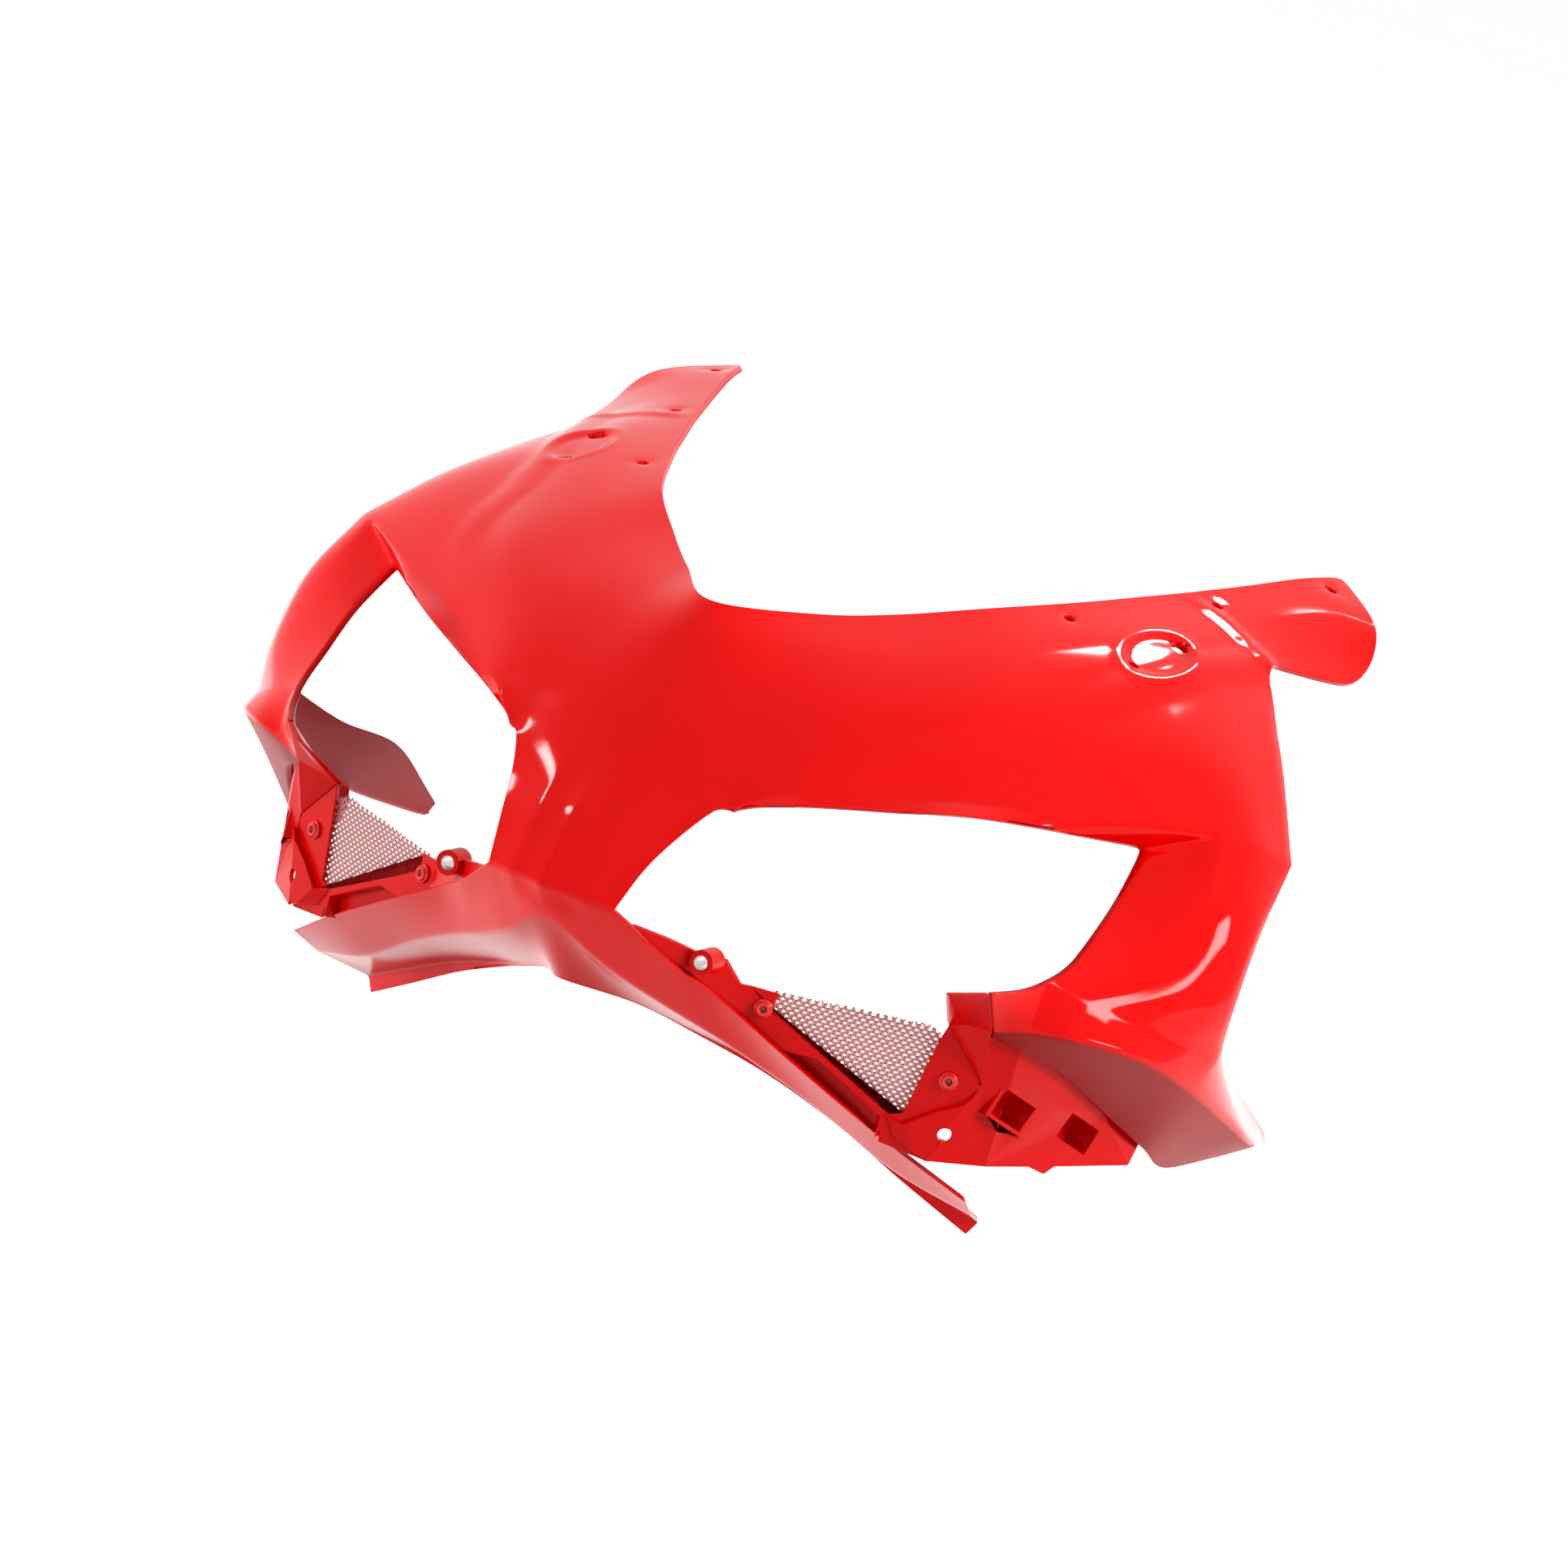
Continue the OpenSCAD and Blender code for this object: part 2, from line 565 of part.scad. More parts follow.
// Pockets of the bracket, each with a hole through its floor
bracket_way = rearward(bracket_low, bracket_end);
bracket_turn = atan2(-bracket_way[0], bracket_way[1]);
pocket_size = [22, 13, 13];
pocket_slope = 22;
pocket_spots = [bracket_low + [4, 3.5, 29], bracket_low + [22.5, 45.5, 19]];
module at_pocket(spot) {
    translate(spot)
        rotate([0, 0, bracket_turn])
            rotate([-90, 0, 0])
                rotate([0, 0, pocket_slope])
                    children();
}
module block(front, depth, margin) {
    translate([-pocket_size[0] / 2 - margin, -pocket_size[1] / 2 - margin, front])
        cube([pocket_size[0] + 2 * margin, pocket_size[1] + 2 * margin, depth - front]);
}

screw_spots = [[7.3, 34.6], [98, 45.6]];

module duct_panel() {
    difference() {
        union() {
            wall();
            channel();
            folded_plate(
                bracket_points, [for (p = bracket_points) p + inward(p) * duct_wall * 1.15],
                bracket_faces, bracket_rim);
            folded_plate(
                [for (p = step_places) in_front(p[0], p[1], p[2])],
                [for (p = step_places) in_front(p[0], p[1], -duct_wall / 2)],
                step_faces, [for (k = [0:len(step_places) - 1]) k]);
            translate([eyelet_half, eyelet_back - eyelet_length / 2, -eyelet_down])
                rotate([-90, 0, 0])
                    cylinder(d = eyelet_outside, h = eyelet_length, $fn = 48);
            for (spot = pocket_spots)
                at_pocket(spot)
                    block(0, pocket_size[2] + duct_wall, duct_wall);
        }
        translate([eyelet_half, eyelet_back - eyelet_length, -eyelet_down])
            rotate([-90, 0, 0])
                cylinder(d = eyelet_bore, h = 2 * eyelet_length, $fn = 48);
        for (spot = screw_spots)
            at_face(spot[0], spot[1])
                translate([0, 0, -duct_wall])
                    cylinder(d = screw_thread + 2 * screw_play, h = 3 * duct_wall, $fn = 32);
        at_face(103, 70)
            translate([0, 0, -12])
                cylinder(d = bracket_hole, h = 24, $fn = 32);
        for (spot = pocket_spots)
            at_pocket(spot) {
                block(-3 * duct_wall, pocket_size[2], 0);
                cylinder(d = pocket_hole, h = 2 * pocket_size[2], $fn = 32);
            }
    }
}

// Mesh: an expanded sheet behind the wall, with a tab under each screw
mesh_outline = [
    window[0] + [0, 0.4], window[1] + [0, 0.4], [94, 28], [103, 41], [103, 50], [84.5, 67.6],
    [75.6, 68.2], [9.6, 35.6], [6, 38.5], [3, 38.5], [3, 30]];
pitch = [gap_width + 2 * wire, (gap_height + 2 * wire) / 2];
function side_of(p, a, b) = (b[0] - a[0]) * (p[1] - a[1]) - (b[1] - a[1]) * (p[0] - a[0]);
function edge_room(p, poly) = min([for (k = [0:len(poly) - 1])
    let (a = poly[k], b = poly[(k + 1) % len(poly)]) side_of(p, a, b) / norm(b - a)]);
gap_spots = [for (j = [0:24]) for (i = [0:16])
    let (p = [window[5][0] + (i + (j % 2) / 2) * pitch[0], window[1][1] + j * pitch[1]])
    if (edge_room(p, window) > gap_width / 2) p];
module mesh() {
    lift = duct_wall + seat_gap;
    difference() {
        at_face(0, 0)
            translate([0, 0, lift])
                linear_extrude(height = mesh_wall)
                    polygon(
                        points = concat(mesh_outline, [for (p = gap_spots) each [
                            p - [gap_width / 2, 0], p - [0, gap_height / 2],
                            p + [gap_width / 2, 0], p + [0, gap_height / 2]]]),
                        paths = concat(
                            [[for (k = [0:len(mesh_outline) - 1]) k]],
                            [for (g = [0:len(gap_spots) - 1]) [for (k = [0:3]) len(mesh_outline) + 4 * g + k]]));
        for (spot = screw_spots)
            at_face(spot[0], spot[1])
                cylinder(d = screw_thread + 2 * screw_play, h = 3 * lift, $fn = 32);
    }
}

// Screw: a domed head on the wall's front, with its thread through wall and mesh
module screw() {
    head_height = 2.4;
    difference() {
        union() {
            translate([0, 0, -head_height - screw_play])
                cylinder(d1 = screw_head - 2, d2 = screw_head, h = head_height, $fn = 48);
            translate([0, 0, -head_height])
                cylinder(d = screw_thread, h = 3 * duct_wall + head_height, $fn = 32);
        }
        translate([0, 0, -head_height - 1])
            cylinder(d = screw_head / 3, h = 2, $fn = 6);
    }
}

module duct_panel_left() {
    color(paint)
        framed()
            duct_panel();
}
module duct_panel_right() {
    color(paint)
        framed()
            mirror([1, 0, 0])
                duct_panel();
}
module mesh_left() {
    color(mesh_tint)
        framed()
            mesh();
}
module mesh_right() {
    color(mesh_tint)
        framed()
            mirror([1, 0, 0])
                mesh();
}
module mesh_screws() {
    color(screw_tint)
        framed()
            both_sides()
                for (spot = screw_spots)
                    at_face(spot[0], spot[1])
                        screw();
}

fairing_shell();
duct_panel_left();
duct_panel_right();
mesh_left();
mesh_right();
mesh_screws();
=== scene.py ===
"""Upper front fairing of a sport motorcycle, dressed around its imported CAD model.

The skin is one moulding in gloss red. A folded duct panel with a mesh grille sits under each
headlamp opening. The nose points to -Y, +X is the rider's left and +Z is up, as in the CAD
frame. Sizes are in millimetres, measured from the foot of the nose, until a mesh is made.
"""

from __future__ import annotations

import logging
import math
from dataclasses import dataclass, field, replace
from enum import Enum

import bmesh
import bpy
import numpy as np
from mathutils import Matrix, Vector

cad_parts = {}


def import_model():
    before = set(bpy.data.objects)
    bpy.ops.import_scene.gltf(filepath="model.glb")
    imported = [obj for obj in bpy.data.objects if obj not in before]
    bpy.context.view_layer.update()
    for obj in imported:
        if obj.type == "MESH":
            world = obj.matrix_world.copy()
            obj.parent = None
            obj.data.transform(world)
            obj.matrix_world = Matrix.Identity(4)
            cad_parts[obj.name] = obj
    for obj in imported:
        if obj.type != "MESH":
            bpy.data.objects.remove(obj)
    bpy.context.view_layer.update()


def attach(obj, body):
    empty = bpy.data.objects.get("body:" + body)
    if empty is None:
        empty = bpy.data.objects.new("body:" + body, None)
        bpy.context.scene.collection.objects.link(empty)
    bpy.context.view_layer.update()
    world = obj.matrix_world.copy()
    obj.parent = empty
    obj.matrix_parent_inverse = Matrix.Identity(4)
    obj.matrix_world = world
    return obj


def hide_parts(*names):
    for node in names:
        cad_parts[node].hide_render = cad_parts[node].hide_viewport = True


LOG = logging.getLogger("fairing")
Array = np.ndarray
Pair = tuple[float, float]
Triple = tuple[float, float, float]
Socket = bpy.types.NodeSocket
MM = 0.001
INNER_REACH = 1.15  # of the wall: inward() isn't quite square to the skin


# ---------------------------------------------------------------- curves and surfaces


def through(points: Array | list[Array], steps: int | list[int], halved: bool = False) -> Array:
    """Samples a smooth curve through points.

    Between two points b and c, with neighbours a and d, a point at share t is half of
    2b + (c - a)t + (2a - 5b + 4c - d)t^2 + (3b - a - 3c + d)t^3. The ends are mirrored.

    Args:
        points: The points of the curve in order; rows of points may stand among them.
        steps: Steps in each span, or one number for all.
        halved: The curve is half of one that crosses the middle without a fold.

    Returns:
        One row for each sample, the last point included.
    """
    p = np.vstack(points).astype(float)
    counts = [steps] * (len(p) - 1) if isinstance(steps, int) else steps
    before = p[1:2] * [-1, 1, 1] if halved else 2 * p[:1] - p[1:2]
    q = np.vstack([before, p, 2 * p[-1:] - p[-2:-1]])
    spans = []
    for k, count in enumerate(counts):
        a, b, c, d = q[k : k + 4]
        t = (np.arange(count) / count)[:, None]
        spans.append(
            0.5 * (2 * b + (c - a) * t + (2 * a - 5 * b + 4 * c - d) * t**2 + (3 * b - a - 3 * c + d) * t**3)
        )
    return np.vstack(spans + [p[-1:]])


def loft(rows: list[Array], steps: int) -> Array:
    """Carries a surface smoothly through sampled curves.

    Each column of samples becomes one curve of the same formula as through().

    Args:
        rows: Curves with the same number of samples.
        steps: Steps from one curve to the next.

    Returns:
        A grid of points, rows first.
    """
    stack = np.stack([np.asarray(row, float) for row in rows])
    return through(stack.reshape(len(rows), -1), steps).reshape(-1, stack.shape[1], 3)


def along(a: Array, b: Array, offsets: list[tuple[float, float, float, float]]) -> Array:
    """Places points at a share of the way from a to b, each then moved.

    Args:
        a: Start of the line.
        b: End of the line.
        offsets: For each point its share of the way and its x, y and z moves.

    Returns:
        One row for each point.
    """
    o = np.asarray(offsets, float)
    return a + (b - a) * o[:, :1] + o[:, 1:]


def unit(v: Array) -> Array:
    """Scales each vector to length one."""
    return v / np.linalg.norm(v, axis=-1, keepdims=True)


def inward(p: Array) -> Array:
    """Gives the direction from each point of the skin towards its inside."""
    return unit(np.stack([-0.6 * p[..., 0], np.full(p.shape[:-1], 60.0), 10.0 - p[..., 2]], -1))


def vec(x: float, y: float, z: float) -> Array:
    """Makes a vector of three numbers."""
    return np.array([x, y, z], float)


def ramp(v: Array | float) -> Array:
    """Rises smoothly from 0 to 1 as v goes from 0 to 1: 3v^2 - 2v^3, flat beyond."""
    t = np.clip(v, 0.0, 1.0)
    return t * t * (3 - 2 * t)


def resampled(line: Array, spacing: float) -> Array:
    """Places points evenly along a polyline.

    Args:
        line: Corners of the polyline.
        spacing: Distance between two points.

    Returns:
        One row for each point.
    """
    gone = np.concatenate([[0], np.cumsum(np.linalg.norm(np.diff(line, axis=0), axis=1))])
    at = np.linspace(0, gone[-1], int(gone[-1] / spacing) + 1)
    return np.stack([np.interp(at, gone, line[:, k]) for k in range(3)], -1)


def beside(points: Array, line: Array) -> tuple[Array, Array]:
    """Measures how far points lie to the side of a line that runs over the skin.

    The offset from the nearest sample of the line has its part along inward() taken out.

    Args:
        points: One row for each point.
        line: Close samples of the line.

    Returns:
        The distance of each point, and the share of the line at which it lies.
    """
    apart = (points**2).sum(-1)[:, None] + (line**2).sum(-1) - 2 * points @ line.T
    nearest = apart.argmin(1)
    offset = points - line[nearest]
    way = inward(points)
    offset -= (offset * way).sum(-1, keepdims=True) * way
    return np.linalg.norm(offset, axis=-1), nearest / (len(line) - 1)


class Edge(Enum):
    """The four edges of a grid of points."""

    TOP = "top"
    BOTTOM = "bottom"
    LEFT = "left"
    RIGHT = "right"


@dataclass
class Moulding:
    """A mesh of quads, with the quads on its rims told apart and two marks on each point."""

    points: Array
    quads: Array
    rims: Array
    marks: Array

    def mirrored(self) -> Moulding:
        """Mirrors the mesh to the rider's right, with its faces kept outward."""
        return replace(self, points=self.points * [-1, 1, 1], quads=self.quads[:, ::-1])

    def softened(self, rounds: int, share: float = 0.5) -> Moulding:
        """Rounds the folds as a mould does.

        In each round a point moves by a share of the way to the mean of its neighbours on the
        same face of the wall. Points on a rim stay, so the outline keeps its size.

        Args:
            rounds: How many times the points move.
            share: Share of the way in one round.

        Returns:
            The mesh with softer folds.
        """
        flat = self.quads[~self.rims]
        pairs = np.vstack([flat[:, [k, (k + 1) % 4]] for k in range(4)])
        pairs = np.unique(np.sort(pairs, axis=1), axis=0)
        a, b = np.concatenate([pairs, pairs[:, ::-1]]).T
        count = np.bincount(a, minlength=len(self.points))
        loose = count > 0
        loose[np.unique(self.quads[self.rims])] = False
        points = self.points.copy()
        for _ in range(rounds):
            mean = np.stack([np.bincount(a, points[b, k], len(points)) for k in range(3)], -1)
            points[loose] += share * (mean[loose] / count[loose, None] - points[loose])
        return replace(self, points=points)


@dataclass
class Sheet:
    """A grid of surface points with the stretches of its edges that are free."""

    grid: Array
    free: dict[Edge, list[tuple[int, int]]] = field(default_factory=dict)
    # Share of grained surface, which the lacquer also darkens as painted shade.
    grain_and_shade: float = 0.0

    def all_of(self, edge: Edge) -> list[tuple[int, int]]:
        """Gives the whole of one edge as a single stretch."""
        rows, cols = self.grid.shape[:2]
        return [(0, (cols if edge in (Edge.TOP, Edge.BOTTOM) else rows) - 1)]

    def shell(self, wall: float) -> Moulding:
        """Thickens the sheet into its two faces and the rims of its free edges.

        The inner face is the outer one moved along inward() by a little over the wall, and a
        rim joins the two faces where an edge is free.

        Args:
            wall: Thickness of the wall.

        Returns:
            The thickened sheet, its points marked 1 for inside and by its share of grained surface with
            painted shade.
        """
        outer = self.grid.reshape(-1, 3)
        back = len(outer)
        n = np.arange(back).reshape(self.grid.shape[:2])
        a, b, c, d = n[:-1, :-1], n[:-1, 1:], n[1:, 1:], n[1:, :-1]
        front = np.stack([a, d, c, b], -1).reshape(-1, 4)
        lines = {Edge.TOP: n[0], Edge.BOTTOM: n[-1], Edge.LEFT: n[:, 0], Edge.RIGHT: n[:, -1]}
        rims = []
        for edge, stretches in self.free.items():
            for first, last in stretches:
                u, v = lines[edge][first:last], lines[edge][first + 1 : last + 1]
                rim = np.stack([u, v, v + back, u + back], -1)
                rims.append(rim if edge in (Edge.TOP, Edge.RIGHT) else rim[:, ::-1])
        quads = np.vstack([front, front[:, ::-1] + back, *rims])
        return Moulding(
            points=np.vstack([outer, outer + inward(outer) * wall * INNER_REACH]),
            quads=quads,
            rims=np.arange(len(quads)) >= 2 * len(front),
            marks=np.stack([np.repeat([0.0, 1.0], back), np.full(2 * back, self.grain_and_shade)], -1))


def joined(parts: list[Moulding]) -> Moulding:
    """Puts several meshes together and merges the points that coincide.

    Args:
        parts: The meshes.

    Returns:
        The one mesh.
    """
    starts = np.cumsum([0] + [len(part.points) for part in parts[:-1]])
    points = np.vstack([part.points for part in parts])
    _, first, which = np.unique(
        np.round(points, 3) + 0.0, axis=0, return_index=True, return_inverse=True)
    return Moulding(
        points=points[first],
        quads=which.reshape(-1)[np.vstack([part.quads + start for part, start in zip(parts, starts)])],
        rims=np.concatenate([part.rims for part in parts]),
        marks=np.vstack([part.marks for part in parts])[first])


# ---------------------------------------------------------------- the skin's form


@dataclass
class SkinForm:
    """Driving sizes of the moulded skin and the curves that follow from them.

    The left half is described; the right half mirrors it. fine is the number of steps between
    two design points, and every curve that two sheets share is sampled once.
    """

    notch_back: float = 99.0
    notch_up: float = 129.0
    ridge_back: float = 39.0
    ridge_up: float = 58.0
    foot_half: float = 33.0
    foot_back: float = 12.0
    nose_half: float = 55.0
    ear_root_at: Triple = (136.0, 334.0, 165.0)
    ear_tip_at: Triple = (171.0, 457.0, 178.0)
    corner_at: Triple = (204.0, 190.0, 72.0)
    brim_depth: float = 14.0
    shoulder_half: float = 186.0
    shoulder_up: float = 147.0
    waist_half: float = 264.0
    waist_back: float = 207.0
    sill_up: float = 11.0
    wing_tip_at: Triple = (241.0, 386.0, -88.0)
    chin_end_at: Triple = (184.0, 148.0, -105.0)
    chin_depth: float = 44.0
    wall: float = 3.0
    fine: int = 6
    roll_width: float = 9.0
    roll_depth: float = 2.4
    fold_width: float = 18.0
    fold_depth: float = 1.7
    ridge_width: float = 13.0
    ridge_height: float = 2.2
    seam_width: float = 9.0
    seam_height: float = 1.2
    recess_half: Pair = (23.0, 12.5)
    recess_depth: float = 1.9
    recess_lip: float = 0.7
    dimple_width: float = 8.0
    dimple_depth: float = 0.9

    def __post_init__(self) -> None:
        """Works out the key points."""
        self.notch = vec(0, self.notch_back, self.notch_up)
        self.ridge_top = vec(0, self.ridge_back, self.ridge_up)
        self.foot = vec(0, 0, 0)
        self.foot_side = vec(self.foot_half, self.foot_back, -2)
        self.nose_side = vec(self.nose_half, self.ridge_back + 11, self.ridge_up - 3)
        self.ear_root = np.array(self.ear_root_at)
        self.ear_tip = np.array(self.ear_tip_at)
        self.shoulder = vec(self.shoulder_half, self.ear_root[1] - 3, self.shoulder_up)
        self.corner = np.array(self.corner_at)
        self.crease_corner = self.corner + vec(28, 19, 13)
        self.waist = vec(self.waist_half, self.waist_back, 14)
        self.rear_corner = self.waist + vec(-8, 45, 62)
        self.sill_corner = vec(self.corner[0] + 1, self.corner[1] - 70, self.sill_up)
        self.sill_inner = self.sill_corner + vec(-17, -30, -5)
        self.wing_tip = np.array(self.wing_tip_at)
        self.chin_end = np.array(self.chin_end_at)

        self.screen_spots = [self.ear_root + vec(-20, -89, -15), self.ear_root + vec(16, 10, 0),
                             self.ear_tip + vec(5, -24, -2)]
        self.mirror_spot = self.ear_root + vec(24, -53, -16)
        self.mirror_pin_spot = self.ear_root + vec(19, -92, -23)

    def eased(self, p: Array) -> Array:
        """Rounds the corners of the outline.

        A point nearer to a corner than its reach moves by the corner's move times the square of
        one less the share of the reach.
        """
        corners = [
            (self.ear_tip, (0.8, -2.8, -0.7), 12),
            (self.ear_tip + vec(45, -55, -37), (-2.5, -1.2, 2.9), 18),
            (self.shoulder, (3.8, 0.5, -2.3), 15), (self.sill_corner, (-2.6, -0.3, 3.1), 23),
            (self.corner, (-0.4, -1.3, -0.5), 10), (self.nose_side + vec(3, 3, -2), (1.3, -0.5, -1.4), 16),
            (self.nose_side, (0.9, 0.2, -2.7), 8),
            (self.wing_tip, (0.4, -4.6, 1.8), 16)]
        return p + sum(
            np.clip(1 - np.linalg.norm(p - at, axis=-1, keepdims=True) / reach, 0, None) ** 2 * np.array(move)
            for at, move, reach in corners)

    def pressed(self, p: Array, rear_edge: Array) -> Array:
        """Adds the mould's small forms, each as a move along inward().

        They are the edge rolled in at the rear, the fold down the nose, the ridge that runs
        forward from the shoulder, the seam between brow and ear, the mirror's oval recess and
        a dimple round each screen hole. A roll at distance d from a line of width w moves by
        its depth times (1 - d/w)^2, and a ridge by its height times (1 - (d/w)^2)^2.

        Args:
            p: Points of the outer face.
            rear_edge: Samples along the free rear edge, from the shoulder to the wing's tip.

        Returns:
            The moved points.
        """
        way = inward(p)
        away, share = beside(p, rear_edge)
        fade = ramp(share / 0.12) * ramp((0.93 - share) / 0.25)
        move = self.roll_depth * fade * np.clip(1 - away / self.roll_width, 0, None) ** 2

        across = np.clip(np.abs(p[:, 0]) / self.fold_width, 0, 1)
        height = ramp((self.ridge_up + 2 - p[:, 2]) / 16) * ramp((p[:, 2] + 14) / 12)
        ahead = ramp((self.ridge_back + 12 - p[:, 1]) / 10)
        move += self.fold_depth * 4 * across * (1 - across) * height * ahead

        ridge = resampled(np.array([
            self.shoulder, self.shoulder + vec(-11, -45, -4), self.shoulder + vec(-24, -91, -13.5),
            self.shoulder + vec(-32, -127, -26.5), self.shoulder + vec(-36, -199, -69)]), 1.0)
        away, share = beside(p, ridge)
        bulge = np.clip(1 - (away / self.ridge_width) ** 2, 0, 1) ** 2
        move -= self.ridge_height * ramp((1 - share) / 0.55) * bulge
        seam = resampled(np.array([self.ear_root, (self.ear_root + self.shoulder) / 2 + vec(1, 1, 2),
                                   self.shoulder]), 1.0)
        away, share = beside(p, seam)
        bulge = np.clip(1 - (away / self.seam_width) ** 2, 0, 1) ** 2
        move -= self.seam_height * ramp(share / 0.3) * bulge

        long_way = unit(self.mirror_spot - self.mirror_pin_spot)
        offset = p - (self.mirror_spot + self.mirror_pin_spot) / 2 - vec(0, 1, 0)
        far = np.linalg.norm(offset, axis=-1)
        along_it = offset @ long_way
        deep = (offset * way).sum(-1)
        across_it = np.sqrt(np.clip(far**2 - along_it**2 - deep**2, 0, None))
        oval = np.hypot(along_it / self.recess_half[0], across_it / self.recess_half[1])
        move += (self.recess_depth * ramp((1.1 - oval) / 0.2)
                 - self.recess_lip * np.exp(-((oval - 1.22) / 0.12) ** 2))
        for spot in self.screen_spots:
            gap = p - spot
            gap -= (gap * way).sum(-1, keepdims=True) * way
            near = np.clip(1 - (np.linalg.norm(gap, axis=-1) / self.dimple_width) ** 2, 0, 1)
            move += self.dimple_depth * near**2
        return p + way * move[:, None]

    def steps(self, *counts: int) -> list[int]:
        """Multiplies the steps of each span by the fineness."""
        return [count * self.fine for count in counts]

    def brow(self) -> list[Array]:
        """Samples the brow's rows, from the screen edge down to the crease."""
        share = np.array([0.15, 0.3, 0.48, 0.7, 0.86])[:, None]

        def row(a: Array, b: Array, moves: list[Triple]) -> Array:
            """Runs a row from a to b through points moved off the straight line."""
            points = np.vstack([a, a + (b - a) * share + np.array(moves, float), b])
            return through(points, self.steps(*[4] * 6), True)

        drop = self.ridge_top - self.notch
        rear_1 = (self.ear_root + self.shoulder) / 2 + vec(1, 1, 2)
        rear_3 = self.shoulder + (self.rear_corner - self.shoulder) * 0.5 + vec(1, -1, 6)
        self.crease = np.vstack([
            self.ridge_top, self.nose_side,
            along(self.nose_side, self.crease_corner,
                  [(0.14, 0, -6, 7), (0.34, 0, -5, 8), (0.54, 0, -4, 8)]),
            self.crease_corner, self.rear_corner])
        return [
            row(self.notch, self.ear_root,
                [(14, 8, -3), (19, 5, -2), (23, 0, 2), (17, 3, 2), (8, 1, 1)]),
            row(self.notch + drop * 0.25 + vec(0, 0, 5), rear_1,
                [(18, -9, -4), (27, -19, -5), (32, -26, -3), (27, -24, -1), (17, -14, 0)]),
            row(self.notch + drop * 0.48 + vec(0, 0, 5), self.shoulder,
                [(19, -21, -5), (30, -36, -6), (37, -45, -6), (26, -49, -7), (16, -32, -2)]),
            row(self.notch + drop * 0.74 + vec(0, 0, 4), rear_3,
                [(19, -23, -6), (17, -38, -3), (15, -45, -1), (3, -55, -1), (15, -31, 2)]),
            through(self.crease, self.steps(*[4] * 6), True)]

    def sheets(self) -> dict[str, Sheet]:
        """Builds every sheet of the left half with its free edges.

        Returns:
            The sheets by name, with shared edges sampled alike.
        """
        f = self.fine
        four, three, two = 4 * f, 3 * f, 2 * f
        brow = loft(self.brow(), three)
        last = brow[-1]

        opening_top = through([
            self.nose_side + vec(3, 3, -2),
            self.crease[2] + vec(6, 4, -5),
            self.crease[3] + vec(4, -6, -5),
            self.crease[4] + vec(1, 1 - self.brim_depth, -5),
            self.corner], self.steps(4, 4, 4, 4))
        brim = loft([last[four : 5 * four + 1], opening_top], two)

        def fall(a: Array, b: Array, share: float, rise: float) -> Array:
            """Gives the point at a share of the way from a to b, lifted by rise."""
            return a + (b - a) * share + vec(0, 0, rise)

        nose = loft([
            last[: four + 1],
            through([fall(self.ridge_top, self.foot, 0.36, 6),
                               fall(self.nose_side, self.foot_side, 0.32, 0) - vec(3, 2, 0)], [four], True),
            through([fall(self.ridge_top, self.foot, 0.66, 8),
                               fall(self.nose_side, self.foot_side, 0.63, 0) - vec(3, 4, 0)], [four], True),
            through([self.foot, self.foot_side], [four], True)], three)

        front_1 = self.corner + (self.sill_corner - self.corner) * 0.36 + vec(3, 0, 0)
        front_2 = self.corner + (self.sill_corner - self.corner) * 0.69 + vec(2, 0, -2)
        side_steps = self.steps(2, 2, 2)
        side_top = np.vstack([brim[two:0:-1, -1], last[5 * four :]])
        side = loft([
            side_top,
            through([front_1, front_1 + vec(33, 25, 5), front_1 + vec(47, 40, 2),
                               self.waist + vec(-3, 15, 34)], [two, two, two]),
            through([front_2, front_2 + vec(36, 30, -5), front_2 + vec(50, 48, -11),
                               self.waist], [two, two, two]),
            through([self.sill_corner, self.sill_corner + vec(23, 24, -7),
                               self.sill_corner + vec(45, 56, -17), self.waist + vec(-2, 6, -22)],
                    side_steps)], three)

        wing_top = np.vstack([
            through([self.sill_inner, self.sill_corner], [two]),
            side[-1][1:],
            through([self.waist + vec(-2, 6, -22), self.waist + vec(-14, 55, -43),
                               self.wing_tip + vec(-5, -78, 46), self.wing_tip + vec(-1, -4, 6)],
                    self.steps(3, 3, 3))[1:]])
        fold_points = np.vstack([
            self.sill_inner + vec(-1, 20, -21),
            self.sill_corner + vec(-2, -6, -21),
            self.sill_corner + vec(17, 4, -19),
            self.sill_corner + vec(40, 35, -24),
            self.waist + vec(-7, -7, -43),
            self.waist + vec(-4, 55, -67),
            self.wing_tip + vec(17, -72, 15),
            self.wing_tip + vec(2, 0, -2)])
        fold_steps = self.steps(2, 2, 2, 2, 3, 3, 3)
        fold_line = through(fold_points, fold_steps)
        wing = loft([wing_top, fold_line], two)
        band_edge = through(fold_points[:7] + np.array([
            (-2, 4, -4), (-4, 12, -13), (-10, 28, -26), (-20, 33, -40), (-21, 18, -40),
            (-24, -6, -31), (-11, -18, -7)], float), fold_steps[:6])
        band = loft([fold_line[: len(band_edge)], band_edge], two)

        ear_steps = self.steps(3, 3)
        lift = along(self.ear_root, self.ear_tip, [(0.38, 1, 0, 1), (0.72, 1, 0, 2)])
        ear = loft([
            brow[: 2 * three + 1, -1],
            through([lift[0], self.shoulder + vec(-14, 41, 15),
                               self.shoulder + vec(10, 21, -3)], ear_steps),
            through([lift[1], self.shoulder + vec(3, 78, 18),
                               self.shoulder + vec(24, 49, -6)], ear_steps),
            through([self.ear_tip, self.ear_tip + vec(34, -30, -14),
                               self.ear_tip + vec(45, -55, -37)], ear_steps)], three).transpose(1, 0, 2)

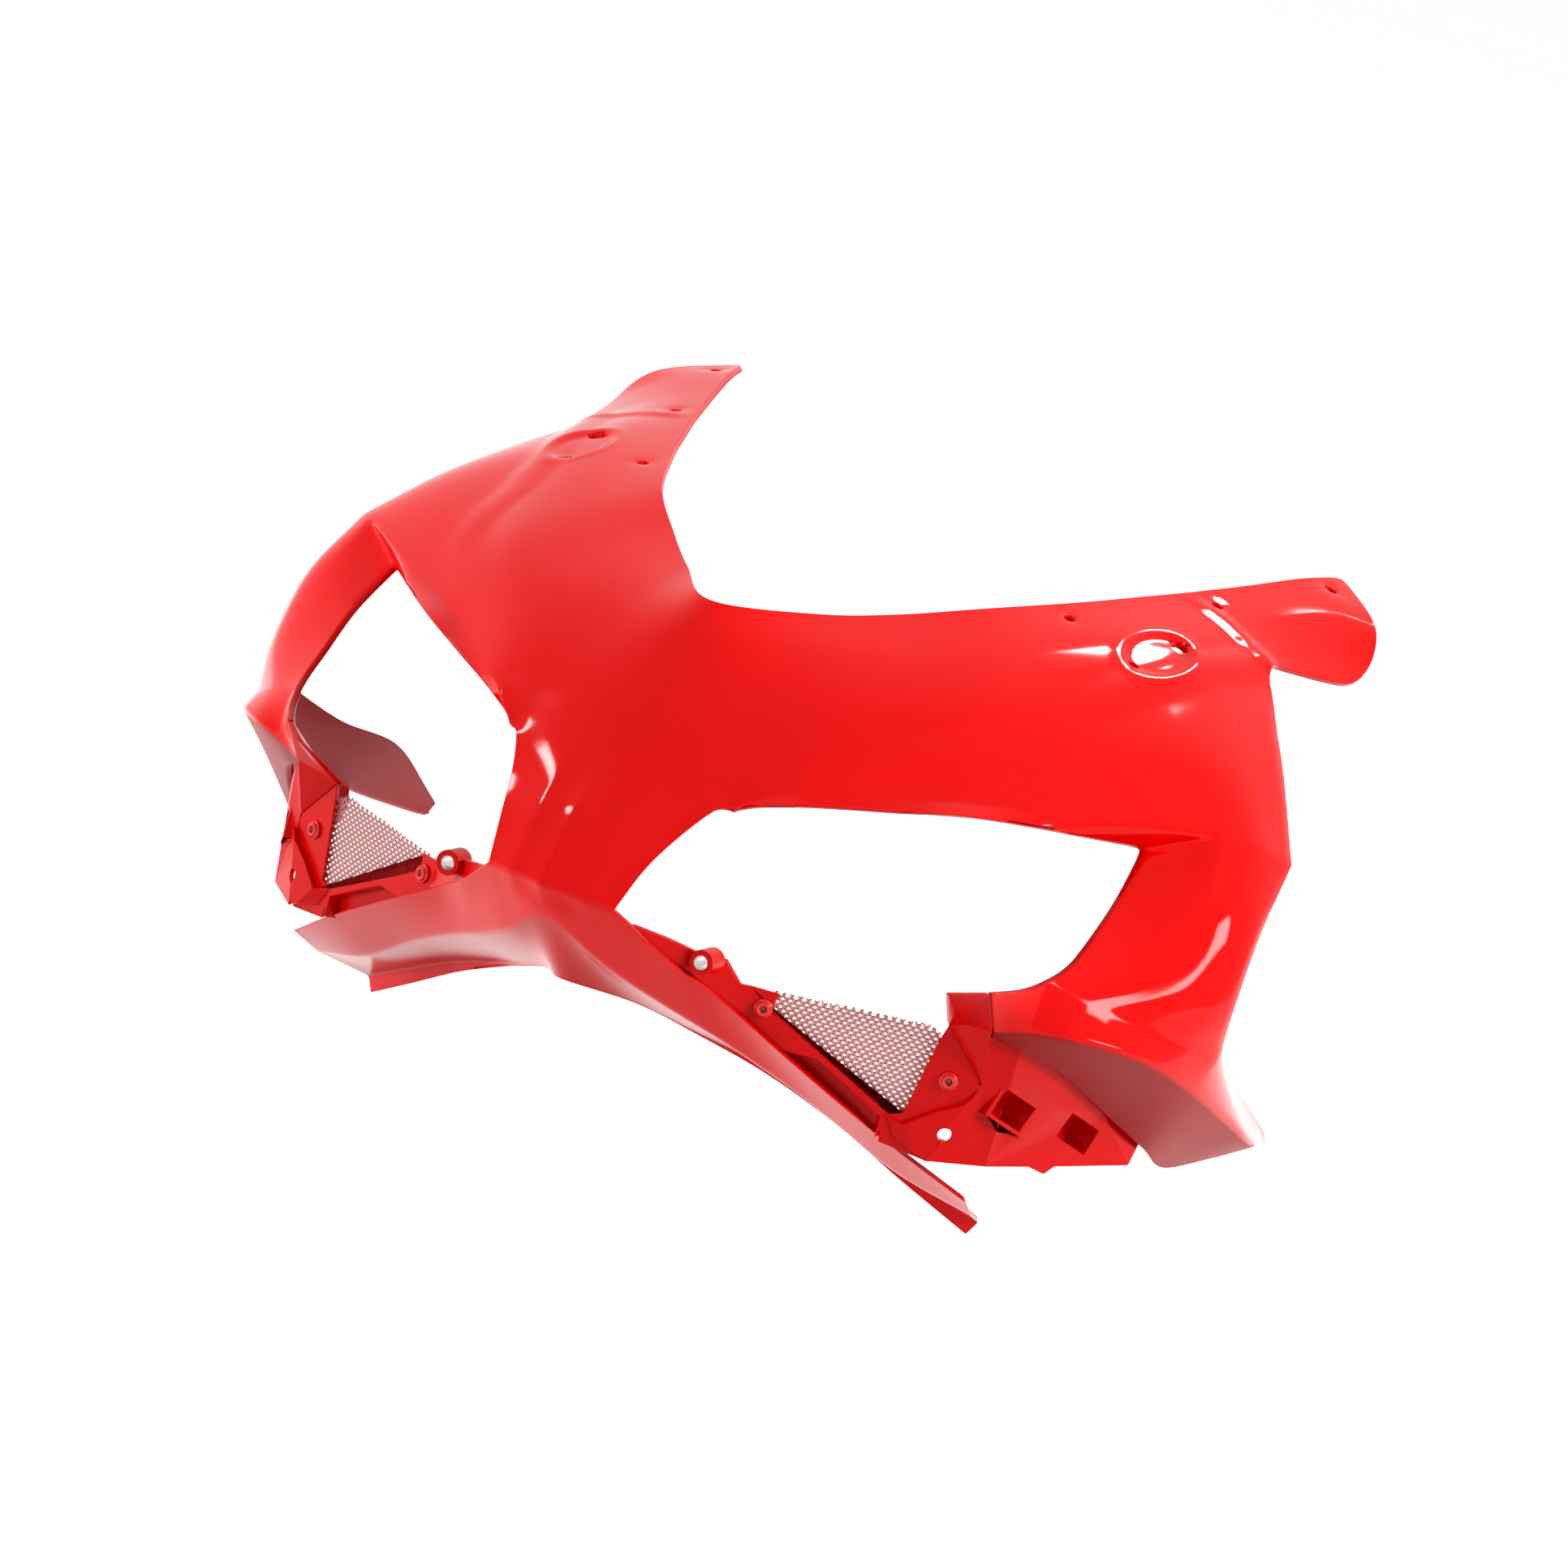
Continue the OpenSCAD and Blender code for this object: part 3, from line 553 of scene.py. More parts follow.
        lip = np.vstack([nose[-1], through([
            self.foot_side, self.foot_side + vec(21, 24, -18), self.foot_side + vec(42, 46, -32),
            self.foot_side + vec(76, 67, -53), self.foot_side + vec(115, 97, -78), self.chin_end],
            self.steps(3, 3, 3, 3, 3))[1:]])
        chin_steps = self.steps(4, 3, 3, 3, 3, 3)
        chin_fold = through([
            self.foot + vec(0, 14, -16), self.foot_side + vec(-8, 25, -32),
            self.foot_side + vec(15, 48, -45), self.foot_side + vec(43, 74, -59),
            self.foot_side + vec(77, 106, -79), self.foot_side + vec(112, 136, -102),
            self.chin_end + vec(-4, 24, -12)], chin_steps, True)
        keel_points = np.vstack([
            self.foot + vec(0, 53, -51), self.foot_side + vec(-9, 76, -56.5),
            self.foot_side + vec(14, 103, -66.5), self.foot_side + vec(41, 134, -78.5),
            self.foot_side + vec(72, 157, -92), self.foot_side + vec(107, 180, -111),
            self.chin_end + vec(-14, self.chin_depth + 22, -26)])
        keel = through(keel_points, chin_steps, True)
        flange_edge = through(keel_points + np.array([
            (0, 0, -0.5), (0, 0, -0.3), (-0.5, 0, -0.8), (-1.5, -1, -2.5), (-2.5, -1, -5),
            (-4, -1, -7), (-4, -1, -7.5)], float), chin_steps, True)

        made = {
            "brow": Sheet(brow), "brim": Sheet(brim), "nose": Sheet(nose), "side": Sheet(side),
            "wing": Sheet(wing), "band": Sheet(band), "ear": Sheet(ear),
            "chin_front": Sheet(loft([lip, chin_fold], three)),
            "chin_under": Sheet(loft([chin_fold, keel], three)),
            "chin_flange": Sheet(loft([keel, flange_edge], f))}
        whole = {
            "brow": [Edge.TOP], "brim": [Edge.BOTTOM, Edge.LEFT], "nose": [Edge.RIGHT],
            "side": [Edge.LEFT, Edge.RIGHT], "wing": [Edge.LEFT, Edge.RIGHT],
            "band": [Edge.BOTTOM, Edge.LEFT, Edge.RIGHT], "ear": [Edge.TOP, Edge.BOTTOM, Edge.RIGHT],
            "chin_front": [Edge.RIGHT], "chin_under": [Edge.RIGHT],
            "chin_flange": [Edge.BOTTOM, Edge.RIGHT]}
        for name, edges in whole.items():
            made[name].free = {edge: made[name].all_of(edge) for edge in edges}
        made["brow"].free[Edge.RIGHT] = [(2 * three, 4 * three)]
        side_end = two + len(side_top) - 1
        made["wing"].free[Edge.TOP] = [(0, two), (side_end, len(wing_top) - 1)]
        made["wing"].free[Edge.BOTTOM] = [(len(band_edge) - 1, len(wing_top) - 1)]
        made["chin_front"].free[Edge.TOP] = [(four, len(lip) - 1)]
        # The band and the chin's underside are grained, and the lacquer darkens them as painted shade.
        made["chin_under"].grain_and_shade, made["band"].grain_and_shade = 0.4, 1.0

        rear = resampled(self.eased(np.vstack([
            brow[2 * three :, -1], side[1:, -1], wing_top[side_end + 1 :]])), 0.8)
        for sheet in made.values():
            flat = self.pressed(self.eased(sheet.grid.reshape(-1, 3)), rear)
            flat[sheet.grid.reshape(-1, 3)[:, 0] == 0, 0] = 0
            sheet.grid = flat.reshape(sheet.grid.shape)
        return made


# ---------------------------------------------------------------- meshes in the scene


@dataclass
class Bench:
    """Turns worked-out surfaces into pieces of the scene, in the CAD frame."""

    eyelet_back: float = 51.0
    eyelet_down: float = 18.0

    def place(self, points: Array) -> Array:
        """Moves points from the foot of the nose to the CAD frame, in metres."""
        return (points - [0, self.eyelet_back, -self.eyelet_down]) * MM

    def taken(self, points: Array) -> Array:
        """Moves points of the CAD frame to the foot of the nose, in millimetres."""
        return points / MM + [0, self.eyelet_back, -self.eyelet_down]

    def mesh(self, name: str, points: Array, faces: list[Array]) -> bpy.types.Mesh:
        """Makes a mesh of points and faces.

        Args:
            name: Name of the mesh.
            points: Points from the foot of the nose, in millimetres.
            faces: Arrays of point numbers, each with as many columns as its faces have corners.

        Returns:
            The new mesh, smoothly shaded.
        """
        mesh = bpy.data.meshes.new(name)
        corners = np.concatenate([np.full(len(part), part.shape[1]) for part in faces])
        numbers = np.concatenate([part.ravel() for part in faces])
        mesh.vertices.add(len(points))
        mesh.vertices.foreach_set("co", self.place(points).astype(np.float32).ravel())
        mesh.loops.add(len(numbers))
        mesh.loops.foreach_set("vertex_index", numbers.astype(np.int32))
        mesh.polygons.add(len(corners))
        mesh.polygons.foreach_set("loop_start", (np.cumsum(corners) - corners).astype(np.int32))
        mesh.update(calc_edges=True)
        mesh.validate()
        mesh.shade_smooth()
        return mesh

    def stand(
        self, mesh: bpy.types.Mesh, stands_for: str, slot: str, finish: bpy.types.Material
    ) -> bpy.types.Object:
        """Puts a mesh into the scene as a piece of the object.

        Args:
            mesh: The mesh, which gives the piece its name.
            stands_for: The CAD node that the piece replaces.
            slot: A material slot's name; not used.
            finish: The piece's material.

        Returns:
            The new object, at the origin, riding on the frame.
        """
        piece = bpy.data.objects.new(mesh.name, mesh)
        bpy.context.scene.collection.objects.link(piece)
        mesh.materials.clear()
        mesh.materials.append(finish)
        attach(piece, "root")
        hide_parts(stands_for)
        LOG.info("%s: %d faces", piece.name, len(mesh.polygons))
        return piece


def rounded(piece: bpy.types.Object, width: float, angle: float, segments: int = 2) -> None:
    """Rounds the sharp edges of a piece.

    Args:
        piece: The piece.
        width: Width of the rounding, in millimetres.
        angle: Edges that fold more than this, in degrees, are rounded.
        segments: Steps across the rounding.
    """
    bevel = piece.modifiers.new("edge_rounding", "BEVEL")
    bevel.width = width * MM
    bevel.segments = segments
    bevel.limit_method = "ANGLE"
    bevel.angle_limit = math.radians(angle)
    bevel.use_clamp_overlap = False
    bevel.harden_normals = True


def turned(profile: Array, sides: int) -> tuple[Array, list[Array]]:
    """Turns a profile about the z axis into a closed surface.

    A point of radius r and height z becomes the ring (r cos a, r sin a, z), and the first and
    last points, which lie on the axis, close the ends with fans.

    Args:
        profile: Rows of radius and height, from the lower end on the axis to the upper one.
        sides: Points on each ring.

    Returns:
        The points and the faces.
    """
    angle = np.arange(sides) * 2 * np.pi / sides
    rings = np.stack([
        profile[1:-1, :1] * np.cos(angle), profile[1:-1, :1] * np.sin(angle),
        np.repeat(profile[1:-1, 1:], sides, axis=1)], -1)
    n = np.arange(rings.shape[0] * sides).reshape(-1, sides)
    turn = np.roll(n, -1, axis=1)
    low, high = n.size, n.size + 1
    points = np.vstack([rings.reshape(-1, 3), [[0, 0, profile[0, 1]], [0, 0, profile[-1, 1]]]])
    quads = np.stack([n[:-1], turn[:-1], turn[1:], n[1:]], -1).reshape(-1, 4)
    fans = np.vstack([
        np.stack([turn[0], n[0], np.full(sides, low)], -1),
        np.stack([n[-1], turn[-1], np.full(sides, high)], -1)])
    return points, [quads, fans]


def set_out(
    points: Array, faces: list[Array], frames: list[tuple[Array, Array]]
) -> tuple[Array, list[Array]]:
    """Repeats a mesh at several places.

    Args:
        points: Points about the origin.
        faces: The faces.
        frames: For each copy its origin and its three axes as rows.

    Returns:
        The points and the faces of all copies; a left-handed set of axes turns the faces over.
    """
    all_points = np.vstack([origin + points @ axes for origin, axes in frames])
    turns = [1 if np.linalg.det(axes) > 0 else -1 for _, axes in frames]
    all_faces = [
        np.vstack([part[:, ::turn] + k * len(points) for k, turn in enumerate(turns)]) for part in faces]
    return all_points, all_faces


def marked(mesh: bpy.types.Mesh, name: str, values: Array) -> None:
    """Keeps a value for each point of a mesh, for its material to read."""
    held = np.ascontiguousarray(values, np.float32)
    mesh.attributes.new(name, "FLOAT", "POINT").data.foreach_set("value", held)


# ---------------------------------------------------------------- finishes


class Shade:
    """Nodes of one material around its Principled shader, reading Object coordinates."""

    def __init__(self, name: str) -> None:
        """Starts a material."""
        self.material = bpy.data.materials.new(name)
        self.material.use_nodes = True
        self.tree = self.material.node_tree
        self.shader = self.tree.nodes["Principled BSDF"]
        self.place = self.node("ShaderNodeTexCoord").outputs["Object"]

    def node(self, kind: str, **values: object) -> bpy.types.Node:
        """Adds a node, sets its inputs by name and links those that are sockets.

        Args:
            kind: Blender's name of the node type.
            **values: Inputs, with spaces in their names written as underscores.

        Returns:
            The node.
        """
        made = self.tree.nodes.new(kind)
        for key, value in values.items():
            self.feed(made.inputs[key.replace("_", " ")], value)
        return made

    def give(self, **values: object) -> None:
        """Feeds the shader's own inputs, with spaces in their names written as underscores."""
        for key, value in values.items():
            self.feed(self.shader.inputs[key.replace("_", " ")], value)

    def feed(self, socket: Socket, value: object) -> None:
        """Links a socket to an input, or sets the input's value; a colour may leave out alpha."""
        if isinstance(value, Socket):
            self.tree.links.new(value, socket)
        elif socket.type == "RGBA" and len(value) == 3:
            socket.default_value = (*value, 1)
        else:
            socket.default_value = value

    def noise(self, scale: float, detail: float = 2.0) -> Socket:
        """Gives a cloudy noise; scale is in waves per metre."""
        return self.node("ShaderNodeTexNoise", Vector=self.place, Scale=scale, Detail=detail).outputs["Fac"]

    def between(self, share: Socket, low: float, high: float) -> Socket:
        """Spreads a share of 0 to 1 between two values."""
        return self.node("ShaderNodeMapRange", Value=share, To_Min=low, To_Max=high).outputs["Result"]

    def mix(self, share: object, a: object, b: object) -> Socket:
        """Mixes two colours by a share."""
        node = self.tree.nodes.new("ShaderNodeMix")
        node.data_type = "RGBA"
        for key, value in (("Factor_Float", share), ("A_Color", a), ("B_Color", b)):
            self.feed(next(s for s in node.inputs if s.identifier == key), value)
        return next(s for s in node.outputs if s.identifier == "Result_Color")

    def sums(self, operation: str, a: object, b: object) -> Socket:
        """Works one sum on two values."""
        node = self.tree.nodes.new("ShaderNodeMath")
        node.operation = operation
        self.feed(node.inputs[0], a)
        self.feed(node.inputs[1], b)
        return node.outputs[0]

    def mark(self, name: str) -> Socket:
        """Reads a mark that the mesh keeps on its points."""
        node = self.node("ShaderNodeAttribute")
        node.attribute_name = name
        return node.outputs["Fac"]

    def bump(self, height: Socket, strength: object, depth: float) -> None:
        """Raises the surface by a height of 0 to 1; depth is in millimetres."""
        bump = self.node("ShaderNodeBump", Height=height, Strength=strength, Distance=depth * MM)
        self.tree.links.new(bump.outputs["Normal"], self.shader.inputs["Normal"])


@dataclass(frozen=True)
class GlossPaint:
    """Red lacquer; the inner face and grained underside are rougher, and darker red as painted shade."""

    name: str = "gloss_red_lacquer"
    colour: Triple = (0.90, 0.0, 0.0)
    # Painted shade: darker red for the grained band and chin underneath and for the inner face.
    underside_shade_colour: Triple = (0.34, 0.0, 0.0)
    inside_shade_colour: Triple = (0.33, 0.0, 0.0)
    gloss: float = 0.07
    satin: float = 0.32
    mirror: float = 0.12

    def make(self) -> bpy.types.Material:
        """Builds the material.

        Returns:
            The finished material.
        """
        shade = Shade(self.name)
        cloud = shade.noise(7.0)
        inside, grain_and_shade = shade.mark("inside"), shade.mark("grain_and_shade")
        rough = shade.sums("MAXIMUM", inside, grain_and_shade)
        deep = tuple(v * 0.93 for v in self.colour)
        lacquer = shade.mix(cloud, deep, self.colour)
        # Painted shade: the grained underside and then the inner face are mixed towards darker red.
        outside = shade.mix(grain_and_shade, lacquer, self.underside_shade_colour)
        shade.give(Base_Color=shade.mix(inside, outside, self.inside_shade_colour))
        satin = shade.sums("MULTIPLY", rough, self.satin)
        polish = shade.between(cloud, self.gloss - 0.02, self.gloss + 0.03)
        shade.give(Roughness=shade.sums("ADD", polish, satin))
        height = shade.mix(rough, shade.noise(300.0), shade.noise(1500.0, 4.0))
        shade.bump(height, shade.between(rough, 0.03, 0.35), 0.4)
        shade.give(Specular_IOR_Level=self.mirror)
        return shade.material


@dataclass(frozen=True)
class SatinPaint:
    """Red moulded in the mass, as on the folded panels, with a bare metal liner in each eyelet."""

    name: str = "satin_red_moulding"
    colour: Triple = (0.74, 0.0, 0.0)
    liner_colour: Triple = (0.72, 0.68, 0.66)
    eyelet_half: float = 67.0
    liner_radius: float = 3.35
    gloss: float = 0.26
    mirror: float = 0.12

    def make(self) -> bpy.types.Material:
        """Builds the material.

        Returns:
            The finished material.
        """
        shade = Shade(self.name)
        axes = shade.node("ShaderNodeSeparateXYZ", Vector=shade.place)
        off = shade.sums("SUBTRACT", shade.sums("ABSOLUTE", axes.outputs["X"], 0.0), self.eyelet_half * MM)
        far = shade.sums("SQRT", shade.sums("ADD", shade.sums("POWER", off, 2.0),
                                            shade.sums("POWER", axes.outputs["Z"], 2.0)), 0.0)
        liner = shade.sums("LESS_THAN", far, self.liner_radius * MM)
        cloud = shade.noise(22.0)
        deep = tuple(v * 0.9 for v in self.colour)
        red = shade.mix(cloud, deep, self.colour)
        shade.give(Base_Color=shade.mix(liner, red, self.liner_colour))
        shade.give(Metallic=liner)
        shade.give(Roughness=shade.between(cloud, self.gloss - 0.03, self.gloss + 0.06))
        shade.bump(shade.noise(1100.0, 3.0), 0.12, 0.2)
        shade.give(Specular_IOR_Level=self.mirror)
        return shade.material


@dataclass(frozen=True)
class MeshMetal:
    """Bare metal of the grilles, pink as a painted reflection of the red paint, paler on the crests as a
    painted highlight.
    """

    name: str = "metal_with_painted_red_reflection"
    # Painted reflection: the pink tint stands for red light from the paint around the grille.
    colour: Triple = (0.50, 0.15, 0.14)
    crest_highlight_colour: Triple = (0.80, 0.42, 0.40)
    metallic: float = 0.35

    def make(self) -> bpy.types.Material:
        """Builds the material.

        Returns:
            The finished material.
        """
        shade = Shade(self.name)
        crest = shade.mark("crest")
        cloud = shade.noise(60.0)
        # Painted highlight: the crests of the strands, where they come furthest forward, turn paler.
        share = shade.sums("MULTIPLY", crest, shade.between(cloud, 0.6, 1.0))
        shade.give(Base_Color=shade.mix(share, self.colour, self.crest_highlight_colour))
        shade.give(Roughness=shade.between(cloud, 0.32, 0.46))
        shade.bump(shade.noise(2500.0), 0.15, 0.05)
        shade.give(Metallic=self.metallic)
        return shade.material


@dataclass(frozen=True)
class ScrewPaint:
    """Red paint on the screws, darker in the recess and along the thread as painted shade."""

    name: str = "painted_screw"
    colour: Triple = (0.80, 0.01, 0.01)
    # Painted shade: the recess in the head and the thread are coloured dark.
    recess_shade_colour: Triple = (0.10, 0.01, 0.01)

    def make(self) -> bpy.types.Material:
        """Builds the material.

        Returns:
            The finished material.
        """
        shade = Shade(self.name)
        cloud = shade.noise(240.0)
        # Painted shade in the recess and along the thread, with a cloudy share.
        painted_shade = shade.sums("MULTIPLY", shade.mark("recess"), shade.between(cloud, 0.8, 1.0))
        shade.give(Base_Color=shade.mix(painted_shade, self.colour, self.recess_shade_colour))
        shade.give(Roughness=shade.between(cloud, 0.2, 0.32))
        shade.bump(shade.noise(1800.0), 0.1, 0.1)
        return shade.material


# ---------------------------------------------------------------- pieces


@dataclass
class FairingSkin:
    """The one-piece moulding: brow, nose, sides, ears, wings and chin, with its screw holes."""

    form: SkinForm
    bench: Bench
    screen_hole: float = 5.2
    mirror_hole: float = 8.0
    mirror_pin_hole: float = 5.0
    hole_tilt: float = 24.0
    cutter_half: float = 22.0
    soft_rounds: int = 3
    rim_rounding: float = 0.8
    rim_angle: float = 50.0

    def cutters(self) -> bpy.types.Mesh:
        """Builds the cylinders that cut the holes of both sides.

        Returns:
            One mesh with all the cylinders.
        """
        tilt = math.radians(self.hole_tilt)
        axes = np.array([
            [math.cos(tilt), 0, -math.sin(tilt)], [0, 1, 0], [math.sin(tilt), 0, math.cos(tilt)]])
        spots = [(spot, self.screen_hole) for spot in self.form.screen_spots]
        spots += [(self.form.mirror_spot, self.mirror_hole),
                  (self.form.mirror_pin_spot, self.mirror_pin_hole)]
        h = self.cutter_half
        points, faces = turned(np.array([(0, -h), (0.5, -h), (0.5, h), (0, h)]), 32)
        frames = []
        for spot, width in spots:
            scaled = axes * [[width], [width], [1]]
            frames += [(spot, scaled), (spot * [-1, 1, 1], scaled * [-1, 1, 1])]
        return self.bench.mesh("hole_cutters", *set_out(points, faces, frames))

    def build(self, finish: bpy.types.Material) -> bpy.types.Object:
        """Builds both halves as one closed skin and cuts its holes.

        Args:
            finish: The skin's material.

        Returns:
            The piece, riding on the frame in place of its CAD node.
        """
        half = joined([sheet.shell(self.form.wall) for sheet in self.form.sheets().values()])
        whole = joined([half, half.mirrored()]).softened(self.soft_rounds)
        mesh = self.bench.mesh("fairing_skin", whole.points, [whole.quads])
        # Marks for the lacquer: the inner face and the grained underside, both darkened by painted shade.
        for column, name in enumerate(("inside", "grain_and_shade")):
            marked(mesh, name, whole.marks[:, column])
        piece = self.bench.stand(mesh, "fairing_shell", "gloss_red", finish)
        drill = bpy.data.objects.new("drill", self.cutters())
        bpy.context.scene.collection.objects.link(drill)
        cut = piece.modifiers.new("holes", "BOOLEAN")
        cut.object = drill
        cut.operation = "DIFFERENCE"
        cut.solver = "EXACT"
        bpy.context.view_layer.update()
        holed = bpy.data.meshes.new_from_object(piece.evaluated_get(bpy.context.evaluated_depsgraph_get()))
        piece.modifiers.remove(cut)
        piece.data = holed
        holed.name = "fairing_skin"
        bpy.data.objects.remove(drill)
        LOG.info("fairing_skin: %d faces with its holes", len(holed.polygons))
        rounded(piece, self.rim_rounding, self.rim_angle)
        return piece


class Side(Enum):
    """The rider's two sides; the value turns left-hand places to that side."""

    LEFT = 1
    RIGHT = -1


@dataclass
class DuctPanel:
    """A folded panel under one opening. Its shape is the CAD node's, with its folds rounded."""

    side: Side
    lip: Array
    fold_rounding: float = 0.55
    fold_angle: float = 18.0
    flat_angle: float = 0.4
    merge_metres: float = 2e-6
    foot_span: Triple = (37.0, 99.0, 152.0)
    foot_reach: Pair = (1.6, 4.3)
    foot_drop: Pair = (2.6, 3.8)

    def dropped(self, points: Array) -> Array:
        """Lets the foot of the wall down behind the chin's edge, so that no light passes.

        A point that is nearer than the reach to the edge's height over its own x goes down,
        more so beside the slot than near the nose.
        """
        x = np.abs(points[:, 0])
        rise = np.abs(points[:, 2] - np.interp(x, self.lip[:, 0], self.lip[:, 2]))
        drop = np.zeros(len(x))
        for k in range(2):
            low, high = self.foot_span[k : k + 2]
            drop[(x > low) & (x < high) & (rise < self.foot_reach[k])] = self.foot_drop[k]
        return points - drop[:, None] * vec(0, 0, 1)

    def build(self, bench: Bench, finish: bpy.types.Material) -> bpy.types.Object:
        """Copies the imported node, merges its triangles into flats and rounds its folds.

        Args:
            bench: Where the piece is put together.
            finish: The panel's material.

        Returns:
            The piece.
        """
        node = f"duct_panel_{self.side.name.lower()}"
        mesh = bpy.data.objects[node].data.copy()
        mesh.name = f"folded_panel_{self.side.name.lower()}"
        shape = bmesh.new()
        shape.from_mesh(mesh)
        bmesh.ops.remove_doubles(shape, verts=shape.verts, dist=self.merge_metres)
        bmesh.ops.dissolve_limit(
            shape, angle_limit=math.radians(self.flat_angle), verts=shape.verts, edges=shape.edges)
        shape.to_mesh(mesh)
        shape.free()
        places = np.empty(3 * len(mesh.vertices), np.float32)
        mesh.vertices.foreach_get("co", places)
        points = bench.taken(places.reshape(-1, 3).astype(float))
        mesh.vertices.foreach_set("co", bench.place(self.dropped(points)).astype(np.float32).ravel())
        mesh.shade_smooth()
        mesh.set_sharp_from_angle(angle=math.radians(self.fold_angle))
        piece = bench.stand(mesh, node, "gloss_red", finish)
        rounded(piece, self.fold_rounding, self.fold_angle)
        return piece


@dataclass
class PanelFace:
    """The flat face of a left panel that frames its mesh: its start, its way and its rear."""

    start: Pair = (84.0, 70.0)
    finish: Pair = (183.0, 122.0)

    def axes(self) -> Array:
        """Gives the directions along the face, down and rearwards as rows."""
        x, y = unit(np.array(self.finish) - self.start)
        return np.array([[x, y, 0], [0, 0, -1], [-y, x, 0]])

    def at(self, places: Array) -> Array:
        """Turns places along, down and behind the face into points."""
        return vec(*self.start, 0) + places @ self.axes()


@dataclass
class Grille:
    """Expanded mesh of one side: wavy strands that meet at every half wave.

    Strand j runs along the face at depth j * row_pitch + row_pitch / 2 * cos(2 pi s / wave +
    pi j) below the first, so that it meets the strands above and below it in turn, and dips
    behind the face between the meetings.
    """

    side: Side
    face: PanelFace
    outline: tuple[Pair, ...] = (
        (12.5, 26.5), (83, 23.5), (94, 28), (103, 41), (103, 50), (84.5, 67.6), (75.6, 68.2),
        (62, 62.5), (20, 44.5), (9.6, 40.5), (6, 38.5), (3, 38.5), (3, 30))
    wave: float = 3.8
    row_pitch: float = 1.8
    strand: Pair = (1.15, 0.38)
    behind: float = 3.25
    dip: float = 0.2
    samples: int = 8

    def within(self, places: Array) -> Array:
        """Tells which places lie inside the outline, by the crossings of a line to their left."""
        a = np.array(self.outline)
        b = np.roll(a, -1, axis=0)
        s, down = places[..., None, 0], places[..., None, 1]
        spans = (a[:, 1] > down) != (b[:, 1] > down)
        with np.errstate(divide="ignore", invalid="ignore"):
            cross = a[:, 0] + (down - a[:, 1]) / (b[:, 1] - a[:, 1]) * (b[:, 0] - a[:, 0])
        return (spans & (cross < s)).sum(-1) % 2 == 1

    def build(self, bench: Bench, finish: bpy.types.Material) -> bpy.types.Object:
        """Builds the strands as one mesh; a strand tapers to a closed point where it is cut.

        Args:
            bench: Where the piece is put together.
            finish: The mesh's material.

        Returns:
            The piece.
        """
        low, high = np.min(self.outline, axis=0), np.max(self.outline, axis=0)
        s = np.arange(low[0] - 1, high[0] + 1, self.wave / self.samples)
        j = np.arange(int((high[1] - low[1]) / self.row_pitch) + 2)[:, None]
        turn = 2 * np.pi * s / self.wave + np.pi * j
        down = low[1] + (j - 0.5) * self.row_pitch + self.row_pitch / 2 * np.cos(turn)
        depth = self.behind + self.dip * np.cos(2 * turn)
        line = np.stack([np.broadcast_to(s, down.shape), down, depth], -1)
        inside = self.within(line[..., :2]).astype(float)
        ring = np.array([(0, 0, -1), (0, 1, 0), (0, 0, 1), (0, -1, 0)]) * [0, *self.strand]
        places = line[:, :, None] + ring * inside[:, :, None, None]
        rows, cols = down.shape
        n = np.arange(rows * cols * 4).reshape(rows, cols, 4)
        nxt = np.roll(n, -1, axis=2)
        quads = np.stack([n[:, :-1], n[:, 1:], nxt[:, 1:], nxt[:, :-1]], -1)
        kept = (inside[:, :-1] + inside[:, 1:]) > 0
        quads = quads[kept].reshape(-1, 4)
        points = self.face.at(places.reshape(-1, 3)) * [self.side.value, 1, 1]
        # Crest mark where the strands come furthest forward, for the grille's painted highlight.
        crest = np.repeat(0.5 - 0.5 * np.cos(2 * turn).reshape(-1), 4)
        if self.side is Side.RIGHT:
            quads = quads[:, ::-1]
        used, fresh = np.unique(quads, return_inverse=True)
        mesh = bench.mesh(f"grille_{self.side.name.lower()}", points[used], [fresh.reshape(-1, 4)])
        marked(mesh, "crest", crest[used])
        shape = bmesh.new()
        shape.from_mesh(mesh)
        bmesh.ops.remove_doubles(shape, verts=shape.verts, dist=1e-6)
        bmesh.ops.recalc_face_normals(shape, faces=shape.faces)
        shape.to_mesh(mesh)
        shape.free()
        return bench.stand(mesh, f"mesh_{self.side.name.lower()}", "mesh_metal", finish)


